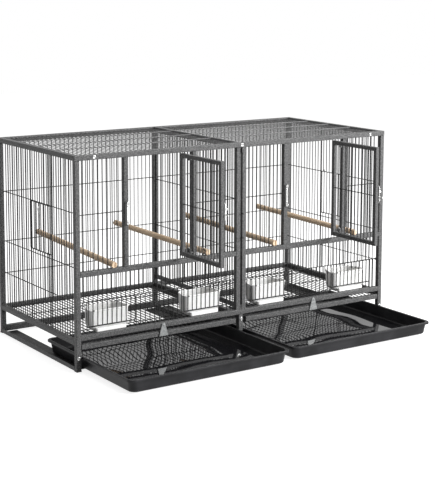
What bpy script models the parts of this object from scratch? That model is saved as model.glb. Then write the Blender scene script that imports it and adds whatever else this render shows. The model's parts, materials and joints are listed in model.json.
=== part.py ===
"""Double bird cage: a square-tube frame filled with welded wire panels.

Two equal sections stand side by side in one frame, with a sliding wire divider between them. Each section
has a hinged door with a drop latch, two lift-up feeder doors with plastic cups, a nest-box door in its end
wall, a sliding wire grate and a sliding plastic tray. The doors stand open and the trays stand half out.

Lengths are in metres. Shapes are given in cage coordinates: x runs along the front from the left outer
face, y runs back from the front face of the posts, and z runs up from the floor.
"""
import math

import bmesh
import bpy
from mathutils import Matrix, Vector

# Stock: tube, wire and the gap left between pieces that touch
TUBE = 0.0127
WIRE = 0.002
EDGE_WIRE = 0.0024
PITCH = 0.0127
FIT = 0.0003
SKIN = 0.0002
WELD = 0.001

# Frame
SECTION = 0.470
SLOT = 0.005
LENGTH = 2 * SECTION + SLOT
DEPTH = 0.430
HEIGHT = 0.517
TOP_UNDERSIDE = HEIGHT - TUBE
FRONT_RAIL_Z = 0.0743
SIDE_RAIL_Z = 0.0635
MID_RAIL_Z = 0.227
CENTRE = LENGTH / 2
SECTION_STARTS = {"left": 0.0, "right": SECTION + SLOT}

# Wire panels: how far the upright wires stand inside the outer face, and the cross wire levels
PANEL_INSET = 0.0103
LOW_CROSS_Z = 0.161
MIDDLE_CROSS_Z = 0.2455
HIGH_CROSS_Z = 0.3765
CROSS_LEVELS = (LOW_CROSS_Z, MIDDLE_CROSS_Z, HIGH_CROSS_Z)
FRONT_CROSS_Z = 0.3735
TOP_WIRE_DROP = 0.001
TOP_CROSS_Y = (0.131, 0.226, 0.321)
GRATE_CROSS_COUNT = 3

# Door opening and door
LATCH_POST_X = 0.131
DOOR_OPENING = 0.182
DOOR_CLEARANCE = 0.002
DOOR_TUBE = 0.010
DOOR_FACE = 0.001
DOOR_BOTTOM_GAP = 0.0083
DOOR_CROSS_Z = 0.377
DOOR_OPEN_ANGLE = math.radians(90)

# Hinges: pin axis ahead of the front face, knuckle on the door, bracket plate and pin on the post. The lower
# bracket's height is counted up from the mid rail, the upper one's down from the top frame.
HINGE_UP = 0.0133
HINGE_DOWN = 0.0193
PIN_OUT = 0.008
PIN_IN_FROM_OPENING = 0.0147
PIN_RADIUS = 0.002
PIN_CLEARANCE = 0.00025
KNUCKLE_RADIUS = 0.004
KNUCKLE_HEIGHT = 0.010
BRACKET_THICKNESS = 0.003
PIN_PROUD = 0.002
PIN_SIDES = 12
KNUCKLE_SIDES = 12

# Drop latch on the door and its keeper on the latch post
LATCH_LOW = 0.358
LATCH_HEIGHT = 0.046
LATCH_WIDTH = 0.012
LATCH_PLATE = 0.0028
TONGUE_UP = 0.013
TONGUE_REACH = 0.009
TONGUE_HEIGHT = 0.008
TONGUE_THICKNESS = 0.0032
THUMB_UP = 0.030
THUMB_DEPTH = 0.006
THUMB_SIZE = 0.007
KEEPER_DROP = 0.018
KEEPER_LOW = LATCH_LOW - KEEPER_DROP
KEEPER_HEIGHT = 0.058
KEEPER_WIDTH = 0.009
KEEPER_PLATE = 0.0015
KEEPER_LIP = 0.0065

# Cups behind the feeder openings, two in each section and the same distance from its middle. Each is narrower
# at its back, has rounded lower corners, and rests on the front floor rail with the lip under its front.
FEEDER_OFFSET = 0.134
FEEDER_WIDTH = 0.130
FEEDER_TOP = 0.1627
CUP_PLAY = 0.001
CUP_WIDTH = FEEDER_WIDTH - 2 * CUP_PLAY
CUP_FRONT_Y = 0.016
CUP_DEPTH = 0.060
CUP_TAPER = 0.28
CUP_LOW = FRONT_RAIL_Z + TUBE + FIT
CUP_HEIGHT = 0.0515
CUP_WALL = 0.0022
CUP_RADIUS = 0.012
CUP_LOWER_RADIUS = 0.016
LIP_INSET = 0.018
LIP_WIDTH = CUP_WIDTH - 2 * LIP_INSET
LIP_FRONT_Y = 0.010
LIP_RADIUS = 0.005
LIP_HEIGHT = 0.0087

# Feeder doors: each starts over a cup's lip and laps the wire over its opening
FEEDER_DOOR_GAP = 0.006
FEEDER_DOOR_LAP = 0.0023
FEEDER_DOOR_LOW = CUP_LOW + LIP_HEIGHT + FEEDER_DOOR_GAP
FEEDER_DOOR_TOP = FEEDER_TOP + FEEDER_DOOR_LAP
FEEDER_SILL = 0.0032
PULL_INSET = 0.012
PULL_DROP = 0.024

# Nest-box opening in each end wall, between two cross wires, its lift door and the spring clip on the door
NEST_FRONT_Y = 0.151
NEST_BACK_Y = 0.256
NEST_UP = 0.0115
NEST_DOWN = 0.0015
NEST_LOW = MIDDLE_CROSS_Z + NEST_UP
NEST_HIGH = HIGH_CROSS_Z - NEST_DOWN
NEST_LAP = 0.004
CLIP_WIDTH = 0.012
CLIP_HEIGHT = 0.016
CLIP_DROP = 0.010
CLIP_DEPTH = 0.0045

# Divider, with a solid band along its foot
DIVIDER_PLAY = 0.00035
DIVIDER_FOOT = 0.0125
DIVIDER_CROSS_LEVELS = (0.241, 0.370)
DIVIDER_HOOK_LEVELS = (0.274, 0.336)
DIVIDER_HOOK_OUT = 0.010
DIVIDER_TAB_HEIGHT = 0.012
DIVIDER_TAB_OUT = 0.004

# Perches: round wood laid front to back, each end notched over the wires. The front and back ends' places are
# counted from the section's start, so each perch lies a little askew as in use.
PERCH_RADIUS = 0.0075
PERCH_FRONT_Y = -0.001
PERCH_BACK_INSET = 0.0075
PERCH_BACK_Y = DEPTH - PERCH_BACK_INSET
PERCH_BACK_Z = 0.2595
PERCH_SIDES = 14
NOTCH_CLEARANCE = 0.0004
THIN_PRONG = 0.003
PERCH_ENDS = {
    "left_outer": (0.103, 0.110),
    "left_inner": (0.372, 0.344),
    "right_outer": (0.104, 0.095),
    "right_inner": (0.372, 0.350),
}

# Grate and its catch, which starts on the grate's front tube and ends level with the front floor rail
GRATE_SIDE_PLAY = 0.0023
GRATE_BACK_PLAY = 0.003
LEDGE_THICKNESS = 0.0015
LEDGE_REACH = 0.0115
CENTRE_LEDGE_REACH = 0.019
CATCH_UP = 0.0013
CATCH_HIGH = FRONT_RAIL_Z + TUBE
CATCH_BASE = 0.026
CATCH_TIP_RADIUS = 0.0048
CATCH_TIP_STEPS = 6
CATCH_THICKNESS = 0.003
CATCH_PIVOT_UP = 0.0045

# Trays and the rails they run on
TRAY_LENGTH = 0.420
TRAY_SIDE_PLAY = 0.0016
TRAY_HEIGHT = 0.0325
TRAY_WALL = 0.002
TRAY_FLANGE = 0.005
TRAY_DRAFT = 0.004
TRAY_RADIUS = 0.016
TRAY_FRONT_OUT = {"left": 0.226, "right": 0.216}
SHELF_LOW = 0.0017
SHELF_THICKNESS = 0.0015
SHELF_REACH = 0.042
TRAY_RAIL_HEIGHT = 0.012
BACK_RAIL_LOW = 0.004
BACK_RAIL_HEIGHT = 0.016

# The row's origin is on the floor, at the middle of the box around the cage and its trays
ORIGIN = Vector((CENTRE, (DEPTH - max(TRAY_FRONT_OUT.values())) / 2, 0.0))

CORNER_STEPS = 3
PLANES = {"front": "xzy", "side": "yzx", "flat": "xyz"}

FINISHES = {
    "hammered_grey": ((0.20, 0.20, 0.205), 0.35, 0.5),
    "zinc_plate": ((0.72, 0.72, 0.70), 1.0, 0.3),
    "black_tray_plastic": ((0.010, 0.010, 0.011), 0.0, 0.12),
    "white_cup_plastic": ((0.86, 0.86, 0.84), 0.0, 0.35),
    "pale_wood": ((0.60, 0.44, 0.29), 0.0, 0.65),
    "grey_catch": ((0.30, 0.31, 0.30), 0.3, 0.4),
}


def clear_scene():
    """Removes every object the file holds."""
    for item in list(bpy.data.objects):
        bpy.data.objects.remove(item, do_unlink=True)


def finish(name):
    """Returns the Principled material of one finish."""
    if name in bpy.data.materials:
        return bpy.data.materials[name]
    colour, metallic, roughness = FINISHES[name]
    material = bpy.data.materials.new(name)
    material.use_nodes = True
    shader = material.node_tree.nodes["Principled BSDF"]
    shader.inputs["Base Color"].default_value = (*colour, 1.0)
    shader.inputs["Metallic"].default_value = metallic
    shader.inputs["Roughness"].default_value = roughness
    return material


def add_object(name, mesh, pivot=(0.0, 0.0, 0.0), turn=0.0):
    """Makes an object from a shape in cage coordinates, with its origin on the pivot."""
    bmesh.ops.translate(mesh, verts=mesh.verts, vec=-Vector(pivot))
    data = bpy.data.meshes.new(name)
    mesh.to_mesh(data)
    mesh.free()
    item = bpy.data.objects.new(name, data)
    item.location = Vector(pivot) - ORIGIN
    item.rotation_euler.z = turn
    bpy.context.scene.collection.objects.link(item)
    return item


def part(name, mesh, look="hammered_grey", pivot=(0.0, 0.0, 0.0), turn=0.0):
    """Makes one sub-part with its own material."""
    item = add_object(name, mesh, pivot, turn)
    item.data.materials.append(finish(look))
    return item


def combine(item, mesh, label, operation="UNION"):
    """Fuses a shape into a sub-part, or cuts it away, with a live Boolean."""
    tool = add_object(item.name + "_" + label, mesh, item.location + ORIGIN, item.rotation_euler.z)
    tool.hide_render = True
    tool.display_type = "WIRE"
    modifier = item.modifiers.new(label, "BOOLEAN")
    modifier.operation = operation
    modifier.solver = "EXACT"
    modifier.object = tool


def smooth(item, angle=35):
    """Shades a round sub-part smooth, apart from its sharp edges."""
    item.data.shade_smooth()
    item.data.set_sharp_from_angle(angle=math.radians(angle))


def block(mesh, low, high):
    """Adds a rectangular block between two corners."""
    low = Vector(low)
    high = Vector(high)
    place = Matrix.Translation((low + high) / 2) @ Matrix.Diagonal((*(high - low), 1.0))
    bmesh.ops.create_cube(mesh, size=1.0, matrix=place)


def in_plane(plane, u, v, w):
    """Returns a point given along a plane's two axes and its depth."""
    point = Vector((0.0, 0.0, 0.0))
    for axis, value in zip(PLANES[plane], (u, v, w)):
        setattr(point, axis, value)
    return point


def bar(mesh, plane, u, v, w):
    """Adds a block given by its ranges along a plane's two axes and its depth."""
    block(mesh, in_plane(plane, min(u), min(v), min(w)), in_plane(plane, max(u), max(v), max(w)))


def tube(low, high):
    """Returns a shape that is one straight square tube."""
    mesh = bmesh.new()
    block(mesh, low, high)
    return mesh


def spaced(start, end, pitch=PITCH):
    """Returns wire centres that divide a width into equal gaps close to the pitch."""
    gaps = max(2, round((end - start) / pitch))
    return [start + (end - start) * step / gaps for step in range(1, gaps)]


def upright_wires(plane, centres, v, w):
    """Returns parallel wires along a plane's second axis."""
    mesh = bmesh.new()
    for centre in centres:
        bar(mesh, plane, (centre - WIRE / 2, centre + WIRE / 2), v, w)
    return mesh


def cross_wires(plane, levels, u, w):
    """Returns parallel wires along a plane's first axis."""
    mesh = bmesh.new()
    for level in levels:
        bar(mesh, plane, u, (level - WIRE / 2, level + WIRE / 2), w)
    return mesh


def depth_layers(face, inward):
    """Returns the depth ranges of a panel's upright wires, cross wires and edge wires."""
    start = face + inward * PANEL_INSET
    uprights = (start, start + inward * WIRE)
    cross_start = uprights[1] + inward * FIT
    crosses = (cross_start, cross_start + inward * WIRE)
    edges = (uprights[0] - inward * SKIN, crosses[1] + inward * SKIN)
    return uprights, crosses, edges


def extrude_flat(mesh, plane, thickness):
    """Turns flat faces into a closed plate."""
    made = bmesh.ops.extrude_face_region(mesh, geom=list(mesh.faces))
    corners = [item for item in made["geom"] if isinstance(item, bmesh.types.BMVert)]
    bmesh.ops.translate(mesh, verts=corners, vec=in_plane(plane, 0.0, 0.0, thickness))
    bmesh.ops.recalc_face_normals(mesh, faces=mesh.faces)


def cut_plate(plane, u_cuts, v_cuts, is_solid, w):
    """Returns a plate made of the solid cells between two sets of cuts."""
    mesh = bmesh.new()
    corners = {}
    for i, u in enumerate(u_cuts):
        for j, v in enumerate(v_cuts):
            corners[i, j] = mesh.verts.new(in_plane(plane, u, v, min(w)))
    for i in range(len(u_cuts) - 1):
        for j in range(len(v_cuts) - 1):
            if is_solid(i, j):
                mesh.faces.new([corners[i, j], corners[i + 1, j], corners[i + 1, j + 1], corners[i, j + 1]])
    loose = [corner for corner in mesh.verts if not corner.link_faces]
    bmesh.ops.delete(mesh, geom=loose, context="VERTS")
    extrude_flat(mesh, plane, max(w) - min(w))
    bmesh.ops.dissolve_limit(mesh, angle_limit=math.radians(1), verts=mesh.verts, edges=mesh.edges)
    return mesh


def edge_ring(plane, u, v, w, edge=EDGE_WIRE):
    """Returns a rectangular ring of edge wire or tube."""
    u_cuts = (u[0], u[0] + edge, u[1] - edge, u[1])
    v_cuts = (v[0], v[0] + edge, v[1] - edge, v[1])
    return cut_plate(plane, u_cuts, v_cuts, lambda i, j: (i, j) != (1, 1), w)


def outline_plate(plane, points, w):
    """Returns a plate with the given outline in a plane's two axes."""
    mesh = bmesh.new()
    mesh.faces.new([mesh.verts.new(in_plane(plane, u, v, min(w))) for u, v in points])
    extrude_flat(mesh, plane, max(w) - min(w))
    return mesh


def vessel(x, y, radius, levels):
    """Returns an open vessel: a rounded base drawn up and back down through levels.

    Each level is its outset from the x range, its outset from the y range, and its height.
    """
    mesh = bmesh.new()
    height = levels[0][2]
    middle = ((x[0] + x[1]) / 2, (y[0] + y[1]) / 2)
    half = [(x[1] - x[0]) / 2 + levels[0][0], (y[1] - y[0]) / 2 + levels[0][1]]
    corners = [mesh.verts.new((middle[0] + across * half[0], middle[1] + along * half[1], height))
               for across, along in ((-1, -1), (1, -1), (1, 1), (-1, 1))]
    mesh.faces.new(corners)
    bmesh.ops.bevel(mesh, geom=corners, offset=radius, offset_type="OFFSET", segments=CORNER_STEPS,
                    profile=0.5, affect="VERTICES", material=-1)
    mesh.faces.ensure_lookup_table()
    base = mesh.faces[0]
    face = base
    for before, level in zip(levels, levels[1:]):
        made = bmesh.ops.extrude_face_region(mesh, geom=[face])
        if face != base:
            bmesh.ops.delete(mesh, geom=[face], context="FACES_ONLY")
        face = next(item for item in made["geom"] if isinstance(item, bmesh.types.BMFace))
        grown = [half[axis] + level[axis] - before[axis] for axis in (0, 1)]
        for corner in face.verts:
            for axis in (0, 1):
                share = grown[axis] / half[axis]
                corner.co[axis] = middle[axis] + (corner.co[axis] - middle[axis]) * share
            corner.co.z = level[2]
        half = grown
    bmesh.ops.recalc_face_normals(mesh, faces=mesh.faces)
    return mesh


def post(name, x, y, low, high=TOP_UNDERSIDE - FIT):
    """Makes one upright tube from its left and front faces."""
    return part(name, tube((x, y, low), (x + TUBE, y + TUBE, high)))


def build_posts():
    """Corner posts, the two front posts beside the divider slot, the back centre post and the centre legs."""
    back = DEPTH - TUBE
    right = LENGTH - TUBE
    post("corner_post_front_left", 0.0, 0.0, 0.0)
    post("corner_post_front_right", right, 0.0, 0.0)
    post("corner_post_back_left", 0.0, back, 0.0)
    post("corner_post_back_right", right, back, 0.0)
    on_rail = FRONT_RAIL_Z + TUBE + FIT
    post("front_centre_post_left", SECTION - TUBE, 0.0, on_rail)
    post("front_centre_post_right", SECTION + SLOT, 0.0, on_rail)
    post("back_centre_post", CENTRE - TUBE / 2, back, SIDE_RAIL_Z + TUBE + FIT)
    post("front_centre_leg", CENTRE - TUBE / 2, 0.0, 0.0, FRONT_RAIL_Z - FIT)
    post("back_centre_leg", CENTRE - TUBE / 2, back, BACK_RAIL_LOW + BACK_RAIL_HEIGHT + FIT, SIDE_RAIL_Z - FIT)


def build_floor_rails():
    """Rails round the base, with ledges that carry the grates."""
    inner = TUBE + FIT
    top = SIDE_RAIL_Z + TUBE
    part("front_floor_rail", tube((inner, 0.0, FRONT_RAIL_Z), (LENGTH - inner, TUBE, FRONT_RAIL_Z + TUBE)))
    part("back_floor_rail", tube((inner, DEPTH - TUBE, SIDE_RAIL_Z), (LENGTH - inner, DEPTH, top)))
    shelf = SIDE_RAIL_Z + LEDGE_THICKNESS
    run = (inner, DEPTH - inner)
    reach = TUBE + LEDGE_REACH
    profile = [(0.0, SIDE_RAIL_Z), (reach, SIDE_RAIL_Z), (reach, shelf), (TUBE, shelf), (TUBE, top), (0.0, top)]
    part("left_floor_rail", profile_along_y(profile, run))
    part("right_floor_rail", profile_along_y([(LENGTH - x, z) for x, z in profile], run))
    half = TUBE / 2
    arm = half + CENTRE_LEDGE_REACH
    tee = [(-arm, SIDE_RAIL_Z), (arm, SIDE_RAIL_Z), (arm, shelf), (half, shelf), (half, top), (-half, top),
           (-half, shelf), (-arm, shelf)]
    part("centre_floor_rail", profile_along_y([(CENTRE + x, z) for x, z in tee], run))


def profile_along_y(points, run):
    """Returns a bar with an (x, z) profile that runs front to back."""
    return outline_plate("front", points, run)


def build_tray_rails():
    """Angle rails that the trays slide on, and the rail across the back."""
    run = (TUBE + FIT, DEPTH - TUBE - FIT)
    shelf = SHELF_LOW + SHELF_THICKNESS
    leaf = TRAY_WALL
    angle = [(0.0, SHELF_LOW), (SHELF_REACH, SHELF_LOW), (SHELF_REACH, shelf), (leaf, shelf),
             (leaf, TRAY_RAIL_HEIGHT), (0.0, TRAY_RAIL_HEIGHT)]
    part("left_tray_rail", profile_along_y(angle, run))
    part("right_tray_rail", profile_along_y([(LENGTH - x, z) for x, z in angle], run))
    half = leaf / 2
    arm = SHELF_REACH
    tee = [(-arm, SHELF_LOW), (arm, SHELF_LOW), (arm, shelf), (half, shelf), (half, TRAY_RAIL_HEIGHT),
           (-half, TRAY_RAIL_HEIGHT), (-half, shelf), (-arm, shelf)]
    part("centre_tray_rail", profile_along_y([(CENTRE + x, z) for x, z in tee], run))
    inner = TUBE + FIT
    part("back_bottom_rail", tube((inner, DEPTH - TUBE, BACK_RAIL_LOW),
                                  (LENGTH - inner, DEPTH, BACK_RAIL_LOW + BACK_RAIL_HEIGHT)))


def build_top():
    """Top frame with its centre rail, the wires laid front to back and the cross wires under them."""
    half = TUBE / 2
    x_cuts = (0.0, TUBE, CENTRE - half, CENTRE + half, LENGTH - TUBE, LENGTH)
    y_cuts = (0.0, TUBE, DEPTH - TUBE, DEPTH)
    frame = cut_plate("flat", x_cuts, y_cuts, lambda i, j: j != 1 or i % 2 == 0, (TOP_UNDERSIDE, HEIGHT))
    top = part("top_panel", frame)
    wire_top = HEIGHT - TOP_WIRE_DROP
    y_run = (TUBE - WELD, DEPTH - TUBE + WELD)
    centres = []
    for start, end in ((TUBE, CENTRE - half), (CENTRE + half, LENGTH - TUBE)):
        centres += spaced(start, end)
    combine(top, upright_wires("flat", centres, y_run, (wire_top - WIRE, wire_top)), "wires")
    cross_top = wire_top - WIRE - FIT
    for side, ends in (("left", (TUBE - WELD, CENTRE - half + WELD)),
                       ("right", (CENTRE + half - WELD, LENGTH - TUBE + WELD))):
        combine(top, cross_wires("flat", TOP_CROSS_Y, ends, (cross_top - WIRE, cross_top)), "cross_" + side)


def back_panel_run(side):
    """Returns the width of a back panel, between a corner post and the back centre post."""
    if side == "left":
        return (TUBE + FIT, CENTRE - TUBE / 2 - FIT)
    return (CENTRE + TUBE / 2 + FIT, LENGTH - TUBE - FIT)


def build_back_panel(side):
    """Back wire panel of one section."""
    uprights, crosses, edges = depth_layers(DEPTH, -1)
    low = SIDE_RAIL_Z + TUBE + FIT
    high = TOP_UNDERSIDE - FIT
    x = back_panel_run(side)
    panel = part("back_panel_" + side, edge_ring("front", x, (low, high), edges))
    v = (low + WELD, high - WELD)
    combine(panel, upright_wires("front", spaced(*x), v, uprights), "wires")
    combine(panel, cross_wires("front", CROSS_LEVELS, (x[0] + WELD, x[1] - WELD), crosses), "cross")


def build_side_panel(side):
    """End wire panel of one section, with its nest-box opening."""
    face, inward = (0.0, 1) if side == "left" else (LENGTH, -1)
    uprights, crosses, edges = depth_layers(face, inward)
    corner = abs(edges[1] - face) + FIT
    y = (corner, DEPTH - corner)
    z = (SIDE_RAIL_Z + TUBE + FIT, TOP_UNDERSIDE - FIT)
    nest_y = (NEST_FRONT_Y, NEST_BACK_Y)
    nest_z = (NEST_LOW, NEST_HIGH)
    y_cuts = ring_cuts(y, nest_y)
    z_cuts = ring_cuts(z, nest_z)
    last = len(y_cuts) - 2
    middle = last // 2

    def is_solid(i, j):
        """Tells the outer ring and the ring round the opening from the rest."""
        outer = i in (0, last) or j in (0, last)
        round_nest = abs(i - middle) <= 1 and abs(j - middle) <= 1 and (i, j) != (middle, middle)
        return outer or round_nest

    panel = part("side_panel_" + side, cut_plate("side", y_cuts, z_cuts, is_solid, edges))
    wires = bmesh.new()
    for centre in spaced(*y):
        span = (centre - WIRE / 2, centre + WIRE / 2)
        beside = centre < nest_y[0] - EDGE_WIRE - WIRE or centre > nest_y[1] + EDGE_WIRE + WIRE
        over = nest_y[0] + WIRE < centre < nest_y[1] - WIRE
        if beside:
            bar(wires, "side", span, (z[0] + WELD, z[1] - WELD), uprights)
        elif over:
            bar(wires, "side", span, (z[0] + WELD, nest_z[0] - WELD), uprights)
            bar(wires, "side", span, (nest_z[1] + WELD, z[1] - WELD), uprights)
    combine(panel, wires, "wires")
    for run in (nest_y[0] - WIRE, nest_y[1] + WIRE):
        if all(abs(run - centre) > WIRE + FIT for centre in spaced(*y)):
            stays = upright_wires("side", [run], (z[0] + WELD, z[1] - WELD), edges_inside(edges))
            combine(panel, stays, "stay")
    combine(panel, cross_wires("side", CROSS_LEVELS, (y[0] + WELD, y[1] - WELD), crosses), "cross")


def edges_inside(edges):
    """Returns a depth range just inside the edge wires."""
    return (min(edges) + SKIN / 2, max(edges) - SKIN / 2)


def ring_cuts(outer, inner):
    """Returns the cuts of an outer ring and of a ring round an opening inside it."""
    edge = EDGE_WIRE
    return (outer[0], outer[0] + edge, inner[0] - edge, inner[0], inner[1], inner[1] + edge,
            outer[1] - edge, outer[1])


def section_x(side, x):
    """Returns a place along the front, from a distance inside one section."""
    return SECTION_STARTS[side] + x


def mid_rail_top():
    """Returns the level of the mid rail's upper face."""
    return MID_RAIL_Z + TUBE


def front_strip_centres(side, strip):
    """Returns where the wires stand in the strip beside the latch post or the hinge post."""
    if strip == "latch":
        return spaced(section_x(side, TUBE + FIT), section_x(side, LATCH_POST_X))
    return spaced(section_x(side, hinge_post_x() + TUBE), section_x(side, SECTION - TUBE - FIT))


def hinge_post_x():
    """Returns the hinge post's left face, from the section's start."""
    return LATCH_POST_X + TUBE + DOOR_OPENING


def build_front_strip(side, strip):
    """A door post with the wire strip welded to it."""
    uprights, crosses, edges = depth_layers(0.0, 1)
    low = mid_rail_top() + FIT
    high = TOP_UNDERSIDE - FIT
    if strip == "latch":
        post_x = section_x(side, LATCH_POST_X)
        x = (section_x(side, TUBE + FIT), post_x + WELD)
    else:
        post_x = section_x(side, hinge_post_x())
        x = (post_x + TUBE - WELD, section_x(side, SECTION - TUBE - FIT))
    grille = part(strip + "_grille_" + side, tube((post_x, 0.0, low), (post_x + TUBE, TUBE, high)))
    combine(grille, edge_ring("front", x, (low, high), edges), "edges")
    v = (low + WELD, high - WELD)
    combine(grille, upright_wires("front", front_strip_centres(side, strip), v, uprights), "wires")
    combine(grille, cross_wires("front", (FRONT_CROSS_Z,), (x[0] + WELD, x[1] - WELD), crosses), "cross")
    if strip == "hinge":
        add_brackets(grille, side, post_x)


def pin_place(side):
    """Returns where the door's hinge pins stand."""
    return Vector((section_x(side, hinge_post_x() - PIN_IN_FROM_OPENING), -PIN_OUT, 0.0))


def hinge_levels():
    """Returns the levels of the brackets on the hinge post."""
    return (mid_rail_top() + HINGE_UP, TOP_UNDERSIDE - HINGE_DOWN)


def add_brackets(grille, side, post_x):
    """Adds the two bracket plates that stand out from the hinge post, each with its pin."""
    pin = pin_place(side)
    plates = bmesh.new()
    pins = bmesh.new()
    for level in hinge_levels():
        block(plates, (pin.x - KNUCKLE_RADIUS, pin.y - KNUCKLE_RADIUS, level),
              (post_x + TUBE - KNUCKLE_RADIUS, 0.0, level + BRACKET_THICKNESS))
        length = BRACKET_THICKNESS + FIT + KNUCKLE_HEIGHT + PIN_PROUD - WELD
        place = Matrix.Translation((pin.x, pin.y, level + WELD + length / 2))
        bmesh.ops.create_cone(pins, cap_ends=True, segments=PIN_SIDES, radius1=PIN_RADIUS, radius2=PIN_RADIUS,
                              depth=length, matrix=place)
    combine(grille, plates, "plates")
    feet = bmesh.new()
    for level in hinge_levels():
        block(feet, (post_x + WELD, -KNUCKLE_RADIUS, level - WELD),
              (post_x + TUBE - WELD, WELD, level + BRACKET_THICKNESS + WELD))
    combine(grille, feet, "feet")
    combine(grille, pins, "pins")


def build_mid_rail(side):
    """Mid rail of one section, with the wires that hang from it to the low wire."""
    uprights, _, edges = depth_layers(0.0, 1)
    x = (section_x(side, TUBE + FIT), section_x(side, SECTION - TUBE - FIT))
    rail = part("mid_rail_" + side, tube((x[0], 0.0, MID_RAIL_Z), (x[1], TUBE, mid_rail_top())))
    low_wire = bmesh.new()
    low = FEEDER_TOP + FIT
    depth = (uprights[0] - SKIN, uprights[1] + SKIN)
    bar(low_wire, "front", x, (low, low + EDGE_WIRE), depth)
    combine(rail, low_wire, "low_wire")
    ends = (low + EDGE_WIRE / 2, MID_RAIL_Z + WELD)
    combine(rail, upright_wires("front", spaced(*x), ends, uprights), "wires")


def feeder_centres(side):
    """Returns the middles of a section's two feeder openings."""
    middle = section_x(side, SECTION / 2)
    return {"outer": middle - FEEDER_OFFSET, "inner": middle + FEEDER_OFFSET}


def build_feeder_grille(side):
    """Short wire panel between the two feeder openings."""
    uprights, _, _ = depth_layers(0.0, 1)
    centres = feeder_centres(side)
    x = (centres["outer"] + FEEDER_WIDTH / 2 + EDGE_WIRE, centres["inner"] - FEEDER_WIDTH / 2 - EDGE_WIRE)
    z = (FRONT_RAIL_Z + TUBE + FIT, FEEDER_TOP)
    depth = (uprights[0] - SKIN, uprights[1] + SKIN)
    grille = part("feeder_grille_" + side, edge_ring("front", x, z, depth))
    combine(grille, upright_wires("front", spaced(*x), (z[0] + WELD, z[1] - WELD), uprights), "wires")


def build_feeder_doors(side):
    """Two wire doors that slide up in front of the lower wires."""
    uprights, _, _ = depth_layers(0.0, 1)
    back = uprights[0] - SKIN - FIT
    depth = (back - WIRE - 2 * SKIN, back)
    wire_depth = (depth[0] + SKIN, depth[1] - SKIN)
    for place, centre in feeder_centres(side).items():
        x = (centre - FEEDER_WIDTH / 2, centre + FEEDER_WIDTH / 2)
        z = (FEEDER_DOOR_LOW, FEEDER_DOOR_TOP)
        door = part("feeder_door_%s_%s" % (side, place), edge_ring("front", x, z, depth),
                    pivot=(centre, back, FEEDER_DOOR_LOW))
        combine(door, upright_wires("front", spaced(*x), (z[0] + WELD, z[1] - WELD), wire_depth), "wires")
        extras = bmesh.new()
        bar(extras, "front", (x[0] + WELD, x[1] - WELD), (z[0] - SKIN, z[0] + FEEDER_SILL),
            (depth[0] - SKIN, depth[1] - SKIN))
        combine(door, extras, "sill")
        pull = bmesh.new()
        pull_x = x[0] + PULL_INSET
        bar(pull, "front", (pull_x, pull_x + WIRE), (z[1] - PULL_DROP, z[1] - SKIN),
            (depth[0] - WIRE, depth[0] + WIRE / 2))
        combine(door, pull, "pull")


def build_cups(side):
    """Plastic cups behind the feeder doors, each with a lip that stands out under its door."""
    wall = CUP_WALL
    rim = CUP_LOW + CUP_HEIGHT
    outside = rounded_levels(CUP_LOWER_RADIUS, wall, CUP_LOW)
    inside = rounded_levels(CUP_LOWER_RADIUS - wall, 2 * wall, CUP_LOW + wall)
    edge = [(-0.4 * wall, -0.4 * wall, rim - wall), (0.0, 0.0, rim - wall), (0.0, 0.0, rim),
            (-1.4 * wall, -1.4 * wall, rim)]
    for place, centre in feeder_centres(side).items():
        x = (centre - CUP_WIDTH / 2, centre + CUP_WIDTH / 2)
        y = (CUP_FRONT_Y, CUP_FRONT_Y + CUP_DEPTH)
        shape = vessel(x, y, CUP_RADIUS, outside + edge + inside[::-1])
        for corner in shape.verts:
            narrowed = 1 - CUP_TAPER * (corner.co.y - y[0]) / CUP_DEPTH
            corner.co.x = centre + (corner.co.x - centre) * narrowed
        cup = part("cup_%s_%s" % (side, place), shape, "white_cup_plastic", pivot=(centre, y[0], CUP_LOW))
        half = LIP_WIDTH / 2
        join = y[0] + 1.5 * wall
        points = [(centre + half, join), (centre - half, join)]
        for step in range(CORNER_STEPS + 1):
            angle = math.pi / 2 * step / CORNER_STEPS
            points.append((centre - half + LIP_RADIUS * (1 - math.cos(angle)),
                           LIP_FRONT_Y + LIP_RADIUS * (1 - math.sin(angle))))
        points += [(2 * centre - px, py) for px, py in reversed(points[2:])]
        combine(cup, outline_plate("flat", points, (CUP_LOW, CUP_LOW + LIP_HEIGHT)), "lip")
        smooth(cup)


def rounded_levels(radius, inset, low):
    """Returns a vessel's lower levels, with the lower corners of its front and back rounded off."""
    levels = [(-inset - radius, -inset - CUP_WALL, low)]
    for step in range(1, CORNER_STEPS + 1):
        angle = math.pi / 2 * step / CORNER_STEPS
        levels.append((-inset - radius * (1 - math.sin(angle)), -inset, low + radius * (1 - math.cos(angle))))
    return levels


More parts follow.
